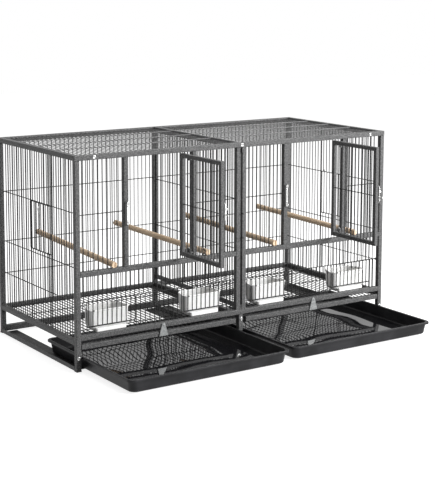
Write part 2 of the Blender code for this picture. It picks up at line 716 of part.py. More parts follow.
def build_door(side):
    """Hinged wire door in its tube frame. It is drawn closed and turned open about its pins."""
    pin = pin_place(side)
    left = section_x(side, LATCH_POST_X + TUBE) + DOOR_CLEARANCE
    x = (left, left + DOOR_OPENING - 2 * DOOR_CLEARANCE)
    z = (mid_rail_top() + DOOR_BOTTOM_GAP, TOP_UNDERSIDE - DOOR_CLEARANCE)
    y = (DOOR_FACE, DOOR_FACE + DOOR_TUBE)
    door = part("door_" + side, edge_ring("front", x, z, y, DOOR_TUBE), pivot=pin, turn=DOOR_OPEN_ANGLE)
    inside = (x[0] + DOOR_TUBE, x[1] - DOOR_TUBE)
    v = (z[0] + DOOR_TUBE - WELD, z[1] - DOOR_TUBE + WELD)
    wire_y = y[0] + DOOR_TUBE / 2
    combine(door, upright_wires("front", spaced(*inside), v, (wire_y - WIRE, wire_y)), "wires")
    cross_y = wire_y + FIT
    combine(door, cross_wires("front", (DOOR_CROSS_Z,), (inside[0] - WELD, inside[1] + WELD),
                              (cross_y, cross_y + WIRE)), "cross")
    knuckles = bmesh.new()
    tabs = bmesh.new()
    bores = bmesh.new()
    bore = PIN_RADIUS + PIN_CLEARANCE
    for level in hinge_levels():
        low = level + BRACKET_THICKNESS + FIT
        place = Matrix.Translation((pin.x, pin.y, low + KNUCKLE_HEIGHT / 2))
        bmesh.ops.create_cone(knuckles, cap_ends=True, segments=KNUCKLE_SIDES, radius1=KNUCKLE_RADIUS,
                              radius2=KNUCKLE_RADIUS, depth=KNUCKLE_HEIGHT, matrix=place)
        bmesh.ops.create_cone(bores, cap_ends=True, segments=KNUCKLE_SIDES, radius1=bore, radius2=bore,
                              depth=3 * KNUCKLE_HEIGHT, matrix=place)
        block(tabs, (pin.x + bore + FIT, pin.y - WELD, low + WELD),
              (x[1] - DOOR_TUBE + KNUCKLE_RADIUS, y[0] + WELD, low + KNUCKLE_HEIGHT - WELD))
    combine(door, tabs, "tabs")
    combine(door, knuckles, "knuckles")
    combine(door, bores, "bores", "DIFFERENCE")


def build_latch(side):
    """Drop latch on the door's free stile, and the keeper on the latch post."""
    left = section_x(side, LATCH_POST_X + TUBE) + DOOR_CLEARANCE
    back = DOOR_FACE - FIT
    front = back - LATCH_PLATE
    x = (left - DOOR_CLEARANCE, left - DOOR_CLEARANCE + LATCH_WIDTH)
    shape = bmesh.new()
    block(shape, (x[0], front, LATCH_LOW), (x[1], back, LATCH_LOW + LATCH_HEIGHT))
    latch = part("door_latch_" + side, shape, "zinc_plate", pivot=pin_place(side), turn=DOOR_OPEN_ANGLE)
    tongue = bmesh.new()
    tongue_low = LATCH_LOW + TONGUE_UP
    block(tongue, (x[0] - TONGUE_REACH, front - TONGUE_THICKNESS + SKIN, tongue_low),
          (x[1] - WELD, front + SKIN, tongue_low + TONGUE_HEIGHT))
    combine(latch, tongue, "tongue")
    thumb = bmesh.new()
    middle = (x[0] + x[1]) / 2
    thumb_low = LATCH_LOW + THUMB_UP
    block(thumb, (middle - THUMB_SIZE / 2, front - THUMB_DEPTH, thumb_low),
          (middle + THUMB_SIZE / 2, front + SKIN, thumb_low + THUMB_SIZE))
    combine(latch, thumb, "thumb")
    keeper_x = section_x(side, LATCH_POST_X + (TUBE - KEEPER_WIDTH) / 2)
    lip = -FIT - KEEPER_LIP
    plate = -FIT - KEEPER_PLATE
    top = KEEPER_LOW + KEEPER_HEIGHT
    points = [(-FIT, KEEPER_LOW), (-FIT, top), (lip, top), (lip, top - KEEPER_PLATE), (plate, top - KEEPER_PLATE),
              (plate, KEEPER_LOW + KEEPER_PLATE), (lip, KEEPER_LOW + KEEPER_PLATE), (lip, KEEPER_LOW)]
    part("keeper_" + side, outline_plate("side", points, (keeper_x, keeper_x + KEEPER_WIDTH)), "zinc_plate")


def build_nest_door(side):
    """Wire door over the nest-box opening, and its spring clip."""
    face, inward = (0.0, 1) if side == "left" else (LENGTH, -1)
    uprights, _, edges = depth_layers(face, inward)
    back = edges[0] - inward * FIT
    front = back - inward * (WIRE + 2 * SKIN)
    wires = (back - inward * SKIN, front + inward * SKIN)
    y = (NEST_FRONT_Y - NEST_LAP, NEST_BACK_Y + NEST_LAP)
    z = (NEST_LOW - NEST_LAP, NEST_HIGH + NEST_LAP)
    pivot = (face, (y[0] + y[1]) / 2, z[0])
    door = part("nest_door_" + side, edge_ring("side", y, z, (front, back)), pivot=pivot)
    combine(door, upright_wires("side", spaced(*y), (z[0] + WELD, z[1] - WELD), wires), "wires")
    clip = bmesh.new()
    clip_back = front - inward * FIT
    middle = (y[0] + y[1]) / 2
    clip_top = z[1] - CLIP_DROP
    bar(clip, "side", (middle - CLIP_WIDTH / 2, middle + CLIP_WIDTH / 2), (clip_top - CLIP_HEIGHT, clip_top),
        (clip_back, clip_back - inward * CLIP_DEPTH))
    part("nest_clip_" + side, clip, "zinc_plate", pivot=pivot)


def build_divider():
    """Wire divider that slides in through the slot between the centre posts."""
    x = (SECTION + DIVIDER_PLAY, SECTION + SLOT - DIVIDER_PLAY)
    uprights = (x[0] + SKIN, x[0] + WIRE)
    crosses = (uprights[1] + FIT, x[1] - SKIN)
    y = (FIT, DEPTH - TUBE - FIT)
    z = (FRONT_RAIL_Z + TUBE + FIT, TOP_UNDERSIDE - 2 * FIT)
    divider = part("divider", edge_ring("side", y, z, x), pivot=(CENTRE, 0.0, z[0]))
    foot = bmesh.new()
    bar(foot, "side", (y[0] + SKIN, y[1] - SKIN), (z[0] + SKIN, z[0] + DIVIDER_FOOT), edges_inside(x))
    combine(divider, foot, "foot")
    combine(divider, upright_wires("side", spaced(*y), (z[0] + WELD, z[1] - WELD), uprights), "wires")
    combine(divider, cross_wires("side", DIVIDER_CROSS_LEVELS, (y[0] + WELD, y[1] - WELD), crosses), "cross")
    grips = bmesh.new()
    for level in DIVIDER_HOOK_LEVELS:
        bar(grips, "side", (-DIVIDER_HOOK_OUT, y[0] + WELD), (level - WIRE / 2, level + WIRE / 2),
            (CENTRE - WIRE / 2, CENTRE + WIRE / 2))
    bar(grips, "side", (-DIVIDER_TAB_OUT, y[0] + WELD), (z[1] - DIVIDER_TAB_HEIGHT, z[1] - SKIN),
        (x[0] + SKIN, x[1] - SKIN))
    combine(divider, grips, "grips")


def perch_front_z():
    """Returns the height of a perch's middle where it lies on the mid rail."""
    return mid_rail_top() + FIT + PERCH_RADIUS


def notch_spans(wires, middle):
    """Returns the widths cut from a perch's end to clear the wires, leaving no thin prong beside them."""
    gap = WIRE / 2 + NOTCH_CLEARANCE
    spans = []
    for centre in wires:
        low = centre - gap
        high = centre + gap
        if low - middle > PERCH_RADIUS or middle - high > PERCH_RADIUS:
            continue
        if low - middle < THIN_PRONG - PERCH_RADIUS:
            low = middle - PERCH_RADIUS - WELD
        if high - middle > PERCH_RADIUS - THIN_PRONG:
            high = middle + PERCH_RADIUS + WELD
        spans.append((low, high))
    return spans


def build_perch(place):
    """One round perch, with notches cut over each wire that it meets."""
    side = place.split("_")[0]
    front_x, back_x = [section_x(side, end) for end in PERCH_ENDS[place]]
    start = Vector((front_x, PERCH_FRONT_Y, perch_front_z()))
    end = Vector((back_x, PERCH_BACK_Y, PERCH_BACK_Z))
    along = end - start
    mesh = bmesh.new()
    turn = along.to_track_quat("Z", "Y").to_matrix().to_4x4()
    bmesh.ops.create_cone(mesh, cap_ends=True, segments=PERCH_SIDES, radius1=PERCH_RADIUS,
                          radius2=PERCH_RADIUS, depth=along.length,
                          matrix=Matrix.Translation((start + end) / 2) @ turn)
    perch = part("perch_" + place, mesh, "pale_wood")
    smooth(perch)
    strip = "latch" if PERCH_ENDS[place][0] < LATCH_POST_X else "hinge"
    _, _, front_edges = depth_layers(0.0, 1)
    _, _, back_edges = depth_layers(DEPTH, -1)
    notches = bmesh.new()
    for low, high in notch_spans(front_strip_centres(side, strip), front_x):
        block(notches, (low, PERCH_FRONT_Y - WELD, MID_RAIL_Z),
              (high, max(front_edges) + NOTCH_CLEARANCE, start.z + 2 * PERCH_RADIUS))
    for low, high in notch_spans(spaced(*back_panel_run(side)), back_x):
        block(notches, (low, min(back_edges) - NOTCH_CLEARANCE, end.z - 2 * PERCH_RADIUS),
              (high, PERCH_BACK_Y + WELD, end.z + 2 * PERCH_RADIUS))
    combine(perch, notches, "notches", "DIFFERENCE")
    seat = bmesh.new()
    block(seat, (front_x - 2 * PERCH_RADIUS, min(front_edges) - NOTCH_CLEARANCE, MID_RAIL_Z),
          (front_x + 2 * PERCH_RADIUS, max(front_edges) + NOTCH_CLEARANCE,
           mid_rail_top() + FIT + EDGE_WIRE + NOTCH_CLEARANCE))
    combine(perch, seat, "seat", "DIFFERENCE")


def bay(side):
    """Returns the width between the legs that one grate and one tray share."""
    if side == "left":
        return (TUBE, CENTRE - TUBE / 2)
    return (CENTRE + TUBE / 2, LENGTH - TUBE)


def build_grate(side):
    """Wire grate with the tube across its front, and the catch on that tube."""
    low, high = bay(side)
    gap = CENTRE_LEDGE_REACH - LEDGE_REACH + GRATE_SIDE_PLAY
    x = (low + GRATE_SIDE_PLAY, high - gap) if side == "left" else (low + gap, high - GRATE_SIDE_PLAY)
    ring_low = SIDE_RAIL_Z + LEDGE_THICKNESS + FIT
    cross_z = (ring_low + SKIN, ring_low + SKIN + WIRE)
    wire_z = (cross_z[1] + FIT, cross_z[1] + FIT + WIRE)
    ring_z = (ring_low, wire_z[1] + SKIN)
    y = (WIRE, DEPTH - TUBE - GRATE_BACK_PLAY)
    bar_top = ring_low + SKIN / 2
    grate = part("grate_" + side, tube((x[0], 0.0, bar_top - TUBE), (x[1], TUBE, bar_top)),
                 pivot=((x[0] + x[1]) / 2, 0.0, bar_top))
    inside = (x[0] + WIRE, x[1] - WIRE)
    combine(grate, edge_ring("flat", inside, y, ring_z), "edges")
    combine(grate, upright_wires("flat", spaced(*inside), (y[0] + WELD, y[1] - WELD), wire_z), "wires")
    levels = [DEPTH * step / (GRATE_CROSS_COUNT + 1) for step in range(1, GRATE_CROSS_COUNT + 1)]
    combine(grate, cross_wires("flat", levels, (inside[0] + WELD, inside[1] - WELD), cross_z), "cross")
    build_catch(side, (low + high) / 2, bar_top - TUBE + CATCH_UP)


def build_catch(side, middle, base):
    """Tapered plate that turns on a rivet in the grate's front tube."""
    half = CATCH_BASE / 2
    tip = CATCH_HIGH - CATCH_TIP_RADIUS
    points = [(middle - half, base), (middle + half, base)]
    for step in range(CATCH_TIP_STEPS + 1):
        angle = math.radians(20 + 140 * step / CATCH_TIP_STEPS)
        points.append((middle + CATCH_TIP_RADIUS * math.cos(angle), tip + CATCH_TIP_RADIUS * math.sin(angle)))
    part("grate_catch_" + side, outline_plate("front", points, (-FIT - CATCH_THICKNESS, -FIT)), "grey_catch",
         pivot=(middle, -FIT, base + CATCH_PIVOT_UP))


def build_tray(side):
    """Plastic tray with drafted walls and a flange all round."""
    low, high = bay(side)
    out = TRAY_FRONT_OUT[side]
    inset = TRAY_SIDE_PLAY + TRAY_FLANGE
    x = (low + inset, high - inset)
    y = (-out + TRAY_FLANGE, -out + TRAY_LENGTH - TRAY_FLANGE)
    base = SHELF_LOW + SHELF_THICKNESS + FIT
    rim = base + TRAY_HEIGHT
    wall = TRAY_WALL
    steps = [(-TRAY_DRAFT - 2 * wall, base), (-TRAY_DRAFT, base + 1.5 * wall), (0.0, rim - wall),
             (TRAY_FLANGE, rim - wall), (TRAY_FLANGE, rim), (-wall, rim),
             (-TRAY_DRAFT - wall, base + 2.5 * wall), (-TRAY_DRAFT - 3 * wall, base + wall)]
    levels = [(outset, outset, height) for outset, height in steps]
    tray = part("tray_" + side, vessel(x, y, TRAY_RADIUS, levels), "black_tray_plastic",
                pivot=((x[0] + x[1]) / 2, -out, base))
    smooth(tray)


def main():
    """Builds the whole cage."""
    clear_scene()
    build_posts()
    build_floor_rails()
    build_tray_rails()
    build_top()
    build_divider()
    for side in ("left", "right"):
        build_back_panel(side)
        build_side_panel(side)
        build_front_strip(side, "latch")
        build_front_strip(side, "hinge")
        build_mid_rail(side)
        build_feeder_grille(side)
        build_feeder_doors(side)
        build_cups(side)
        build_door(side)
        build_latch(side)
        build_nest_door(side)
        build_grate(side)
        build_tray(side)
    for place in PERCH_ENDS:
        build_perch(place)


main()
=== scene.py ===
"""Looks of the double bird cage: coated tubes, welded wire panels, doors, cups, perches and trays.

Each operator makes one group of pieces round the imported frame. Lengths are in metres, x runs along the
cage's front to the right, y runs to its back and z runs up.
"""

import json
import math

import bmesh
import bpy
from bpy.props import FloatProperty, FloatVectorProperty, IntProperty, PointerProperty
from mathutils import Matrix, Vector


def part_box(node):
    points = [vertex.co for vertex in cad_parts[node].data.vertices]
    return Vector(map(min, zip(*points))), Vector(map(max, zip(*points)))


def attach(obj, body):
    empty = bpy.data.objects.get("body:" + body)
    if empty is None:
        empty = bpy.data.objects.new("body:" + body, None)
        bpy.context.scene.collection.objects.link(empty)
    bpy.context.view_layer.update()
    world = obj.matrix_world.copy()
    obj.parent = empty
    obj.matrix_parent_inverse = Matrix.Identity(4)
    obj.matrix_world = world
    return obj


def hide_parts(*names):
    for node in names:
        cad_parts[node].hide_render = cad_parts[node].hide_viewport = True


bl_info = {
    "name": "Double Bird Cage",
    "version": (1, 0, 0),
    "blender": (4, 5, 0),
    "location": "3D View > Sidebar > Bird Cage",
    "description": "Builds the tubes, wire panels, doors, cups, perches and trays of a double bird cage",
    "category": "Add Mesh",
}

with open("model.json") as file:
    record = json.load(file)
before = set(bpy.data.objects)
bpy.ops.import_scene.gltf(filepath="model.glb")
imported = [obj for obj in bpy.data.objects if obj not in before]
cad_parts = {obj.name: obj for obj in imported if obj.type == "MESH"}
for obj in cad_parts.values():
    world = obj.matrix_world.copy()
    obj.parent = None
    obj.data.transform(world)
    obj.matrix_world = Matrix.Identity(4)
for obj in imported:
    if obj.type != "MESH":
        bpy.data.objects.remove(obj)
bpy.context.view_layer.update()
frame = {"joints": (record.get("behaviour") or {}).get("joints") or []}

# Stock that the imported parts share
TUBE = 0.0127
WIRE = 0.002
PITCH = 0.0127
CLEARANCE = 0.0003
PANEL_INSET = 0.0103
CROSS_LEVELS = (0.161, 0.2455, 0.3765)
FRONT_CROSS_Z = 0.3735
TOP_WIRE_DROP = 0.001
TOP_CROSS_Y = (0.131, 0.226, 0.321)
DOOR_OPENING = 0.182
DOOR_TUBE = 0.010
DOOR_CROSS_Z = 0.377
HINGE_LEVELS = (0.253, 0.485)
BRACKET_THICKNESS = 0.003
KNUCKLE_HEIGHT = 0.010
KNUCKLE_RADIUS = 0.004
PIN_RADIUS = 0.002
FEEDER_OFFSET = 0.134
FEEDER_WIDTH = 0.130
NEST_LAP = 0.004
PERCH_RADIUS = 0.0075
GRATE_CROSS_COUNT = 3

# How a wire widens into its weld, from the end inwards
WELD_SHARES = (1.6, 1.25, 1.0)

# Names and axes
SIDES = ("left", "right")
PLACES = ("outer", "inner")
X, Y, Z = 0, 1, 2
PLANES = {"front": (X, Z, Y), "side": (Y, Z, X), "flat": (X, Y, Z)}


def low(node, axis):
    """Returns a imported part's lowest place along an axis."""
    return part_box(node)[0][axis]


def high(node, axis):
    """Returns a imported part's highest place along an axis."""
    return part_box(node)[1][axis]


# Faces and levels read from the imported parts
LEFT = low("corner_post_front_left", X)
RIGHT = high("corner_post_front_right", X)
FRONT = low("corner_post_front_left", Y)
BACK = high("corner_post_back_left", Y)
TOP = high("top_panel", Z)
TOP_UNDERSIDE = low("top_panel", Z)
CENTRE = (LEFT + RIGHT) / 2


class BirdCageSizes(bpy.types.PropertyGroup):
    """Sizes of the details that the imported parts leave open."""

    wire_diameter: FloatProperty(
        name="Wire", description="Diameter of the coated panel wires", default=WIRE + 0.0003, unit="LENGTH",
        precision=4)
    wire_sides: IntProperty(name="Wire sides", description="Flats round each wire", default=10, min=6)
    weld_width: FloatProperty(
        name="Weld", description="Length of the weld at a wire's end", default=0.0016, unit="LENGTH",
        precision=4)
    weld_bite: FloatProperty(
        name="Weld bite", description="How far crossing wires melt into each other", default=0.0005,
        unit="LENGTH", precision=5)
    tube_corner: FloatProperty(
        name="Tube corner", description="Rounding of the tubes' long edges", default=0.0014, unit="LENGTH",
        precision=4)
    plate_edge: FloatProperty(
        name="Plate edge", description="Rounding of sheet metal edges", default=0.0003, unit="LENGTH",
        precision=5)
    tray_corner: FloatProperty(
        name="Tray corner", description="Radius of the trays' corners", default=0.016, unit="LENGTH",
        precision=4)
    cup_corner: FloatProperty(
        name="Cup corner", description="Radius of the cups' corners", default=0.014, unit="LENGTH",
        precision=4)
    floor_size: FloatProperty(
        name="Floor", description="Width of the studio floor", default=14.0, unit="LENGTH")


class BirdCageColours(bpy.types.PropertyGroup):
    """Colours of the finishes."""

    coat_dark: FloatVectorProperty(
        name="Coat, dark", description="Dark ground of the hammered coat", subtype="COLOR",
        default=(0.043, 0.043, 0.044))
    coat_light: FloatVectorProperty(
        name="Coat, light", description="Silver flecks of the hammered coat", subtype="COLOR",
        default=(0.135, 0.135, 0.135))
    tray_black: FloatVectorProperty(
        name="Trays", description="Black tray plastic", subtype="COLOR", default=(0.005, 0.005, 0.006))
    cup_white: FloatVectorProperty(
        name="Cups", description="White cup plastic", subtype="COLOR", default=(0.88, 0.88, 0.88))
    wood_pale: FloatVectorProperty(
        name="Wood, pale", description="Pale wood of the perches", subtype="COLOR",
        default=(0.80, 0.62, 0.44))
    wood_brown: FloatVectorProperty(
        name="Wood, brown", description="Grain lines of the perches", subtype="COLOR",
        default=(0.55, 0.38, 0.23))
    zinc: FloatVectorProperty(
        name="Zinc", description="Bright zinc plate of the small hardware", subtype="COLOR",
        default=(0.66, 0.66, 0.65))
    catch_grey: FloatVectorProperty(
        name="Catches", description="Smooth enamel of the grate catches", subtype="COLOR",
        default=(0.25, 0.26, 0.26))


def sizes():
    """Returns the sizes that the sidebar shows."""
    return bpy.context.scene.bird_cage_sizes


def colours():
    """Returns the colours that the sidebar shows."""
    return bpy.context.scene.bird_cage_colours


# Shapes


def point(plane, u, v, w):
    """Returns a place given along a plane's two axes and its depth."""
    place = Vector((0.0, 0.0, 0.0))
    for axis, value in zip(PLANES[plane], (u, v, w)):
        place[axis] = value
    return place


def spaced(start, end):
    """Returns wire centres that divide a width into equal gaps close to the pitch."""
    gaps = max(2, round((end - start) / PITCH))
    return [start + (end - start) * step / gaps for step in range(1, gaps)]


def grow(mesh, ring):
    """Extrudes a ring of edges in place and returns the new ring's edges and corners."""
    made = bmesh.ops.extrude_edge_only(mesh, edges=ring)["geom"]
    corners = {item for item in made if isinstance(item, bmesh.types.BMVert)}
    edges = [item for item in made if isinstance(item, bmesh.types.BMEdge) and corners.issuperset(item.verts)]
    return edges, list(corners)


def swept(mesh, path, radii, sides):
    """Adds a round bar that follows a path of points, with a radius at each."""
    directions = [(after - before).normalized() for before, after in zip(path, path[1:])]
    headings = [directions[0]]
    headings += [(one + two).normalized() for one, two in zip(directions, directions[1:])]
    headings.append(directions[-1])
    turn = headings[0].to_track_quat("Z", "Y").to_matrix().to_4x4()
    made = bmesh.ops.create_circle(mesh, cap_ends=True, segments=sides, radius=radii[0],
                                   matrix=Matrix.Translation(path[0]) @ turn)
    ring = list(made["verts"][0].link_faces[0].edges)
    for step in range(1, len(path)):
        ring, corners = grow(mesh, ring)
        before = path[step - 1]
        share = radii[step] / radii[step - 1]
        bmesh.ops.scale(mesh, vec=(share, share, share), verts=corners, space=Matrix.Translation(-before))
        bend = headings[step - 1].rotation_difference(headings[step]).to_matrix()
        bmesh.ops.rotate(mesh, verts=corners, cent=before, matrix=bend)
        bmesh.ops.translate(mesh, verts=corners, vec=path[step] - before)
    bmesh.ops.contextual_create(mesh, geom=ring)


def rod(mesh, start, end, diameter=None, welded=True):
    """Adds a straight wire, widened by the weld at each end."""
    start = Vector(start)
    end = Vector(end)
    radius = (diameter or sizes().wire_diameter) / 2
    if not welded:
        swept(mesh, [start, end], [radius, radius], sizes().wire_sides)
        return
    weld = (end - start).normalized() * sizes().weld_width
    path = [start, start + weld / 2, start + weld, end - weld, end - weld / 2, end]
    swept(mesh, path, [radius * share for share in WELD_SHARES + WELD_SHARES[::-1]], sizes().wire_sides)


def bent_path(points, bend, steps=4):
    """Returns the line of a wire that is bent to a radius at each inner point."""
    points = [Vector(item) for item in points]
    path = [points[0]]
    for before, corner, after in zip(points, points[1:], points[2:]):
        come = (corner - before).normalized()
        leave = (after - corner).normalized()
        angle = come.angle(leave)
        reach = bend * math.tan(angle / 2)
        side = (leave - come * come.dot(leave)).normalized()
        centre = corner - come * reach + side * bend
        for step in range(steps + 1):
            turn = angle * step / steps
            path.append(centre + bend * (come * math.sin(turn) - side * math.cos(turn)))
    path.append(points[-1])
    return path


def bent_wire(mesh, points, bend, diameter=None):
    """Adds a wire bent round its inner points."""
    radius = (diameter or sizes().wire_diameter) / 2
    path = bent_path(points, bend)
    swept(mesh, path, [radius] * len(path), sizes().wire_sides)


def wire_ring(mesh, plane, u, v, w, bend=0.003, diameter=None):
    """Adds a rectangular ring bent from one wire, its ends butted in the middle of the lower side."""
    half = (diameter or sizes().wire_diameter) / 2
    middle = (u[0] + u[1]) / 2
    outline = [(middle, v[0] + half), (u[1] - half, v[0] + half), (u[1] - half, v[1] - half),
               (u[0] + half, v[1] - half), (u[0] + half, v[0] + half), (middle, v[0] + half)]
    bent_wire(mesh, [point(plane, across, up, w) for across, up in outline], bend, diameter)


def uprights(mesh, plane, centres, v, w, welded=True):
    """Adds parallel wires along a plane's second axis."""
    for centre in centres:
        rod(mesh, point(plane, centre, v[0], w), point(plane, centre, v[1], w), welded=welded)


def crosses(mesh, plane, levels, u, w):
    """Adds parallel wires along a plane's first axis."""
    for level in levels:
        rod(mesh, point(plane, u[0], level, w), point(plane, u[1], level, w))


def depths(face, inward):
    """Returns how deep a panel's upright wires and its cross wires lie."""
    upright = face + inward * (PANEL_INSET + WIRE / 2)
    cross = upright + inward * (sizes().wire_diameter - sizes().weld_bite)
    return upright, cross


def rounded(mesh, edges, radius, steps):
    """Rounds edges off."""
    bmesh.ops.bevel(mesh, geom=edges, offset=radius, offset_type="OFFSET", segments=steps, profile=0.5,
                    affect="EDGES", material=-1)


def sharp_box(mesh, start, end):
    """Adds a box between two corners and returns its edges."""
    start = Vector(start)
    end = Vector(end)
    place = Matrix.Translation((start + end) / 2) @ Matrix.Diagonal((*(end - start), 1.0))
    made = bmesh.ops.create_cube(mesh, size=1.0, matrix=place)["verts"]
    return list({item for corner in made for item in corner.link_edges})


def bar(mesh, start, end, corner=None, steps=3):
    """Adds a square bar between two corners, with its long edges rounded."""
    size = Vector(end) - Vector(start)
    along = max((X, Y, Z), key=lambda axis: size[axis])
    long_edges = [edge for edge in sharp_box(mesh, start, end)
                  if abs(edge.verts[0].co[along] - edge.verts[1].co[along]) > size[along] / 2]
    rounded(mesh, long_edges, corner or sizes().tube_corner, steps)


def block(mesh, start, end, edge=None, steps=2):
    """Adds a block between two corners, with every edge rounded."""
    rounded(mesh, sharp_box(mesh, start, end), edge or sizes().plate_edge, steps)


def plate(mesh, plane, outline, w, edge=None, steps=2):
    """Adds a flat plate with an outline in a plane's two axes, its edges rounded."""
    corners = [mesh.verts.new(point(plane, u, v, w[0])) for u, v in outline]
    face = mesh.faces.new(corners)
    made = bmesh.ops.extrude_face_region(mesh, geom=[face])["geom"]
    moved = [item for item in made if isinstance(item, bmesh.types.BMVert)]
    bmesh.ops.translate(mesh, verts=moved, vec=point(plane, 0.0, 0.0, w[1] - w[0]))
    edges = list({item for corner in corners + moved for item in corner.link_edges})
    rounded(mesh, edges, edge or sizes().plate_edge, steps)


def cut_corners(u, v, cut):
    """Returns a rectangle's outline with its four corners cut off."""
    return [(u[0], v[0] + cut), (u[0] + cut, v[0]), (u[1] - cut, v[0]), (u[1], v[0] + cut),
            (u[1], v[1] - cut), (u[1] - cut, v[1]), (u[0] + cut, v[1]), (u[0], v[1] - cut)]


def turned(mesh, profile, place, sides=20):
    """Adds a piece turned from a (radius, height) profile that starts and ends on its axis."""
    corners = [mesh.verts.new((radius, 0.0, height)) for radius, height in profile]
    edges = [mesh.edges.new(pair) for pair in zip(corners, corners[1:])]
    before = set(mesh.verts) - set(corners)
    bmesh.ops.spin(mesh, geom=corners + edges, cent=(0, 0, 0), axis=(0, 0, 1), angle=math.tau, steps=sides,
                   use_merge=True)
    made = [item for item in mesh.verts if item not in before]
    bmesh.ops.remove_doubles(mesh, verts=made, dist=1e-6)
    made = [item for item in mesh.verts if item not in before]
    bmesh.ops.transform(mesh, matrix=place, verts=made)


def facing(place, direction):
    """Returns the matrix that stands a turned piece on a place, with its axis along a direction."""
    return Matrix.Translation(place) @ Vector(direction).to_track_quat("Z", "Y").to_matrix().to_4x4()


def dome(mesh, place, radius, height):
    """Adds a rivet's domed head that faces the front."""
    sink = height / 3
    profile = [(0.0, -sink), (radius, -sink), (radius, 0.0), (radius * 0.86, height * 0.55),
               (radius * 0.5, height * 0.9), (0.0, height)]
    turned(mesh, profile, facing(place, (0, -1, 0)), sides=16)


def vessel(mesh, x, y, radius, levels, steps):
    """Adds an open vessel: a rounded base drawn up and back down through levels.

    Each level is its outset from the x range, its outset from the y range, and its height.
    """
    middle = Vector(((x[0] + x[1]) / 2, (y[0] + y[1]) / 2, 0.0))
    half = Vector(((x[1] - x[0]) / 2 + levels[0][X], (y[1] - y[0]) / 2 + levels[0][Y], 1.0))
    corners = [mesh.verts.new(middle + Vector((across * half.x, along * half.y, levels[0][Z])))
               for across, along in ((-1, -1), (1, -1), (1, 1), (-1, 1))]
    mesh.faces.new(corners)
    bmesh.ops.bevel(mesh, geom=corners, offset=radius, offset_type="OFFSET", segments=steps, profile=0.5,
                    affect="VERTICES", material=-1)
    base = max(mesh.faces, key=lambda face: face.calc_area())
    ring = list(base.edges)
    for before, level in zip(levels, levels[1:]):
        grown = half + Vector((level[X] - before[X], level[Y] - before[Y], 0.0))
        ring, made = grow(mesh, ring)
        share = Vector((grown.x / half.x, grown.y / half.y, 1.0))
        bmesh.ops.scale(mesh, vec=share, verts=made, space=Matrix.Translation(-middle))
        bmesh.ops.translate(mesh, verts=made, vec=(0.0, 0.0, level[Z] - before[Z]))
        half = grown
    bmesh.ops.contextual_create(mesh, geom=ring)


# Finishes


class Finish:
    """A material and the few calls that lay out its nodes."""

    def __init__(self, name):
        self.material = bpy.data.materials.new(name)
        self.material.use_nodes = True
        self.tree = self.material.node_tree
        self.shader = self.tree.nodes["Principled BSDF"]
        self.place = self.add("ShaderNodeTexCoord").outputs["Object"]

    def add(self, kind, settings=None, inputs=None):
        """Adds a node with its settings, and with values or links on its inputs."""
        node = self.tree.nodes.new(kind)
        for key, value in (settings or {}).items():
            setattr(node, key, value)
        for key, value in (inputs or {}).items():
            if isinstance(value, bpy.types.NodeSocket):
                self.tree.links.new(value, node.inputs[key])
            else:
                node.inputs[key].default_value = value
        return node

    def stretched(self, scale):
        """Returns object coordinates scaled differently along each axis."""
        mapping = self.add("ShaderNodeMapping", inputs={"Vector": self.place, "Scale": scale})
        return mapping.outputs["Vector"]

    def noise(self, scale, detail=3.0, roughness=0.5, distortion=0.0, vector=None):
        """Returns a noise value."""
        node = self.add("ShaderNodeTexNoise", inputs={
            "Vector": vector or self.place, "Scale": scale, "Detail": detail, "Roughness": roughness,
            "Distortion": distortion})
        return node.outputs["Fac"]

    def ramp(self, value, stops):
        """Returns colours picked by a value."""
        node = self.add("ShaderNodeValToRGB", inputs={"Fac": value})
        band = node.color_ramp
        while len(band.elements) < len(stops):
            band.elements.new(0.5)
        for element, (position, colour) in zip(band.elements, stops):
            element.position = position
            element.color = (*colour, 1.0)
        return node.outputs["Color"]

    def ranged(self, value, start, end, low_end=0.3, high_end=0.7):
        """Returns a value spread between two others."""
        node = self.add("ShaderNodeMapRange", inputs={
            "Value": value, "From Min": low_end, "From Max": high_end, "To Min": start, "To Max": end})
        return node.outputs["Result"]

    def joined(self, operation, one, two):
        """Returns the sum, product or other combination of two values."""
        node = self.add("ShaderNodeMath", {"operation": operation})
        for socket, value in zip(node.inputs, (one, two)):
            if isinstance(value, bpy.types.NodeSocket):
                self.tree.links.new(value, socket)
            else:
                socket.default_value = value
        return node.outputs["Value"]

    def bump(self, value, strength, distance):
        """Lays a relief on the surface."""
        node = self.add("ShaderNodeBump", inputs={
            "Height": value, "Strength": strength, "Distance": distance})
        self.tree.links.new(node.outputs["Normal"], self.shader.inputs["Normal"])

    def set(self, **values):
        """Sets or links the shader's sockets, named in lower case with underscores."""
        for key, value in values.items():
            socket = self.shader.inputs[key.replace("_", " ").title().replace("Ior", "IOR")]
            if isinstance(value, bpy.types.NodeSocket):
                self.tree.links.new(value, socket)
            else:
                socket.default_value = value


def mixed(one, two, share):
    """Returns a colour between two others."""
    return tuple(a + (b - a) * share for a, b in zip(one, two))


def hammered_coat(name, lift):
    """Powder coat with silver flecks on a dark ground, and the shallow dimples of a hammered finish. The lift
    scales both colours: below one it darkens the coat as painted shade, above one it lightens it as painted
    light.
    """
    look = Finish(name)
    dark = mixed((0.0, 0.0, 0.0), colours().coat_dark, lift)
    light = mixed((0.0, 0.0, 0.0), colours().coat_light, lift)
    fleck = look.noise(400.0, detail=3.0, roughness=0.6)
    colour = look.ramp(fleck, [(0.40, dark), (0.50, mixed(dark, light, 0.40)), (0.61, light)])
    dimples = look.add("ShaderNodeTexVoronoi", {"feature": "SMOOTH_F1"},
                       {"Vector": look.place, "Scale": 420.0, "Smoothness": 0.6}).outputs["Distance"]
    relief = look.joined("ADD", look.joined("MULTIPLY", dimples, 0.8), look.noise(900.0, detail=2.0))
    look.set(base_color=colour, metallic=0.1, roughness=look.ranged(fleck, 0.58, 0.42),
             specular_ior_level=0.25)
    look.bump(relief, 0.35, 0.0006)
    return look.material


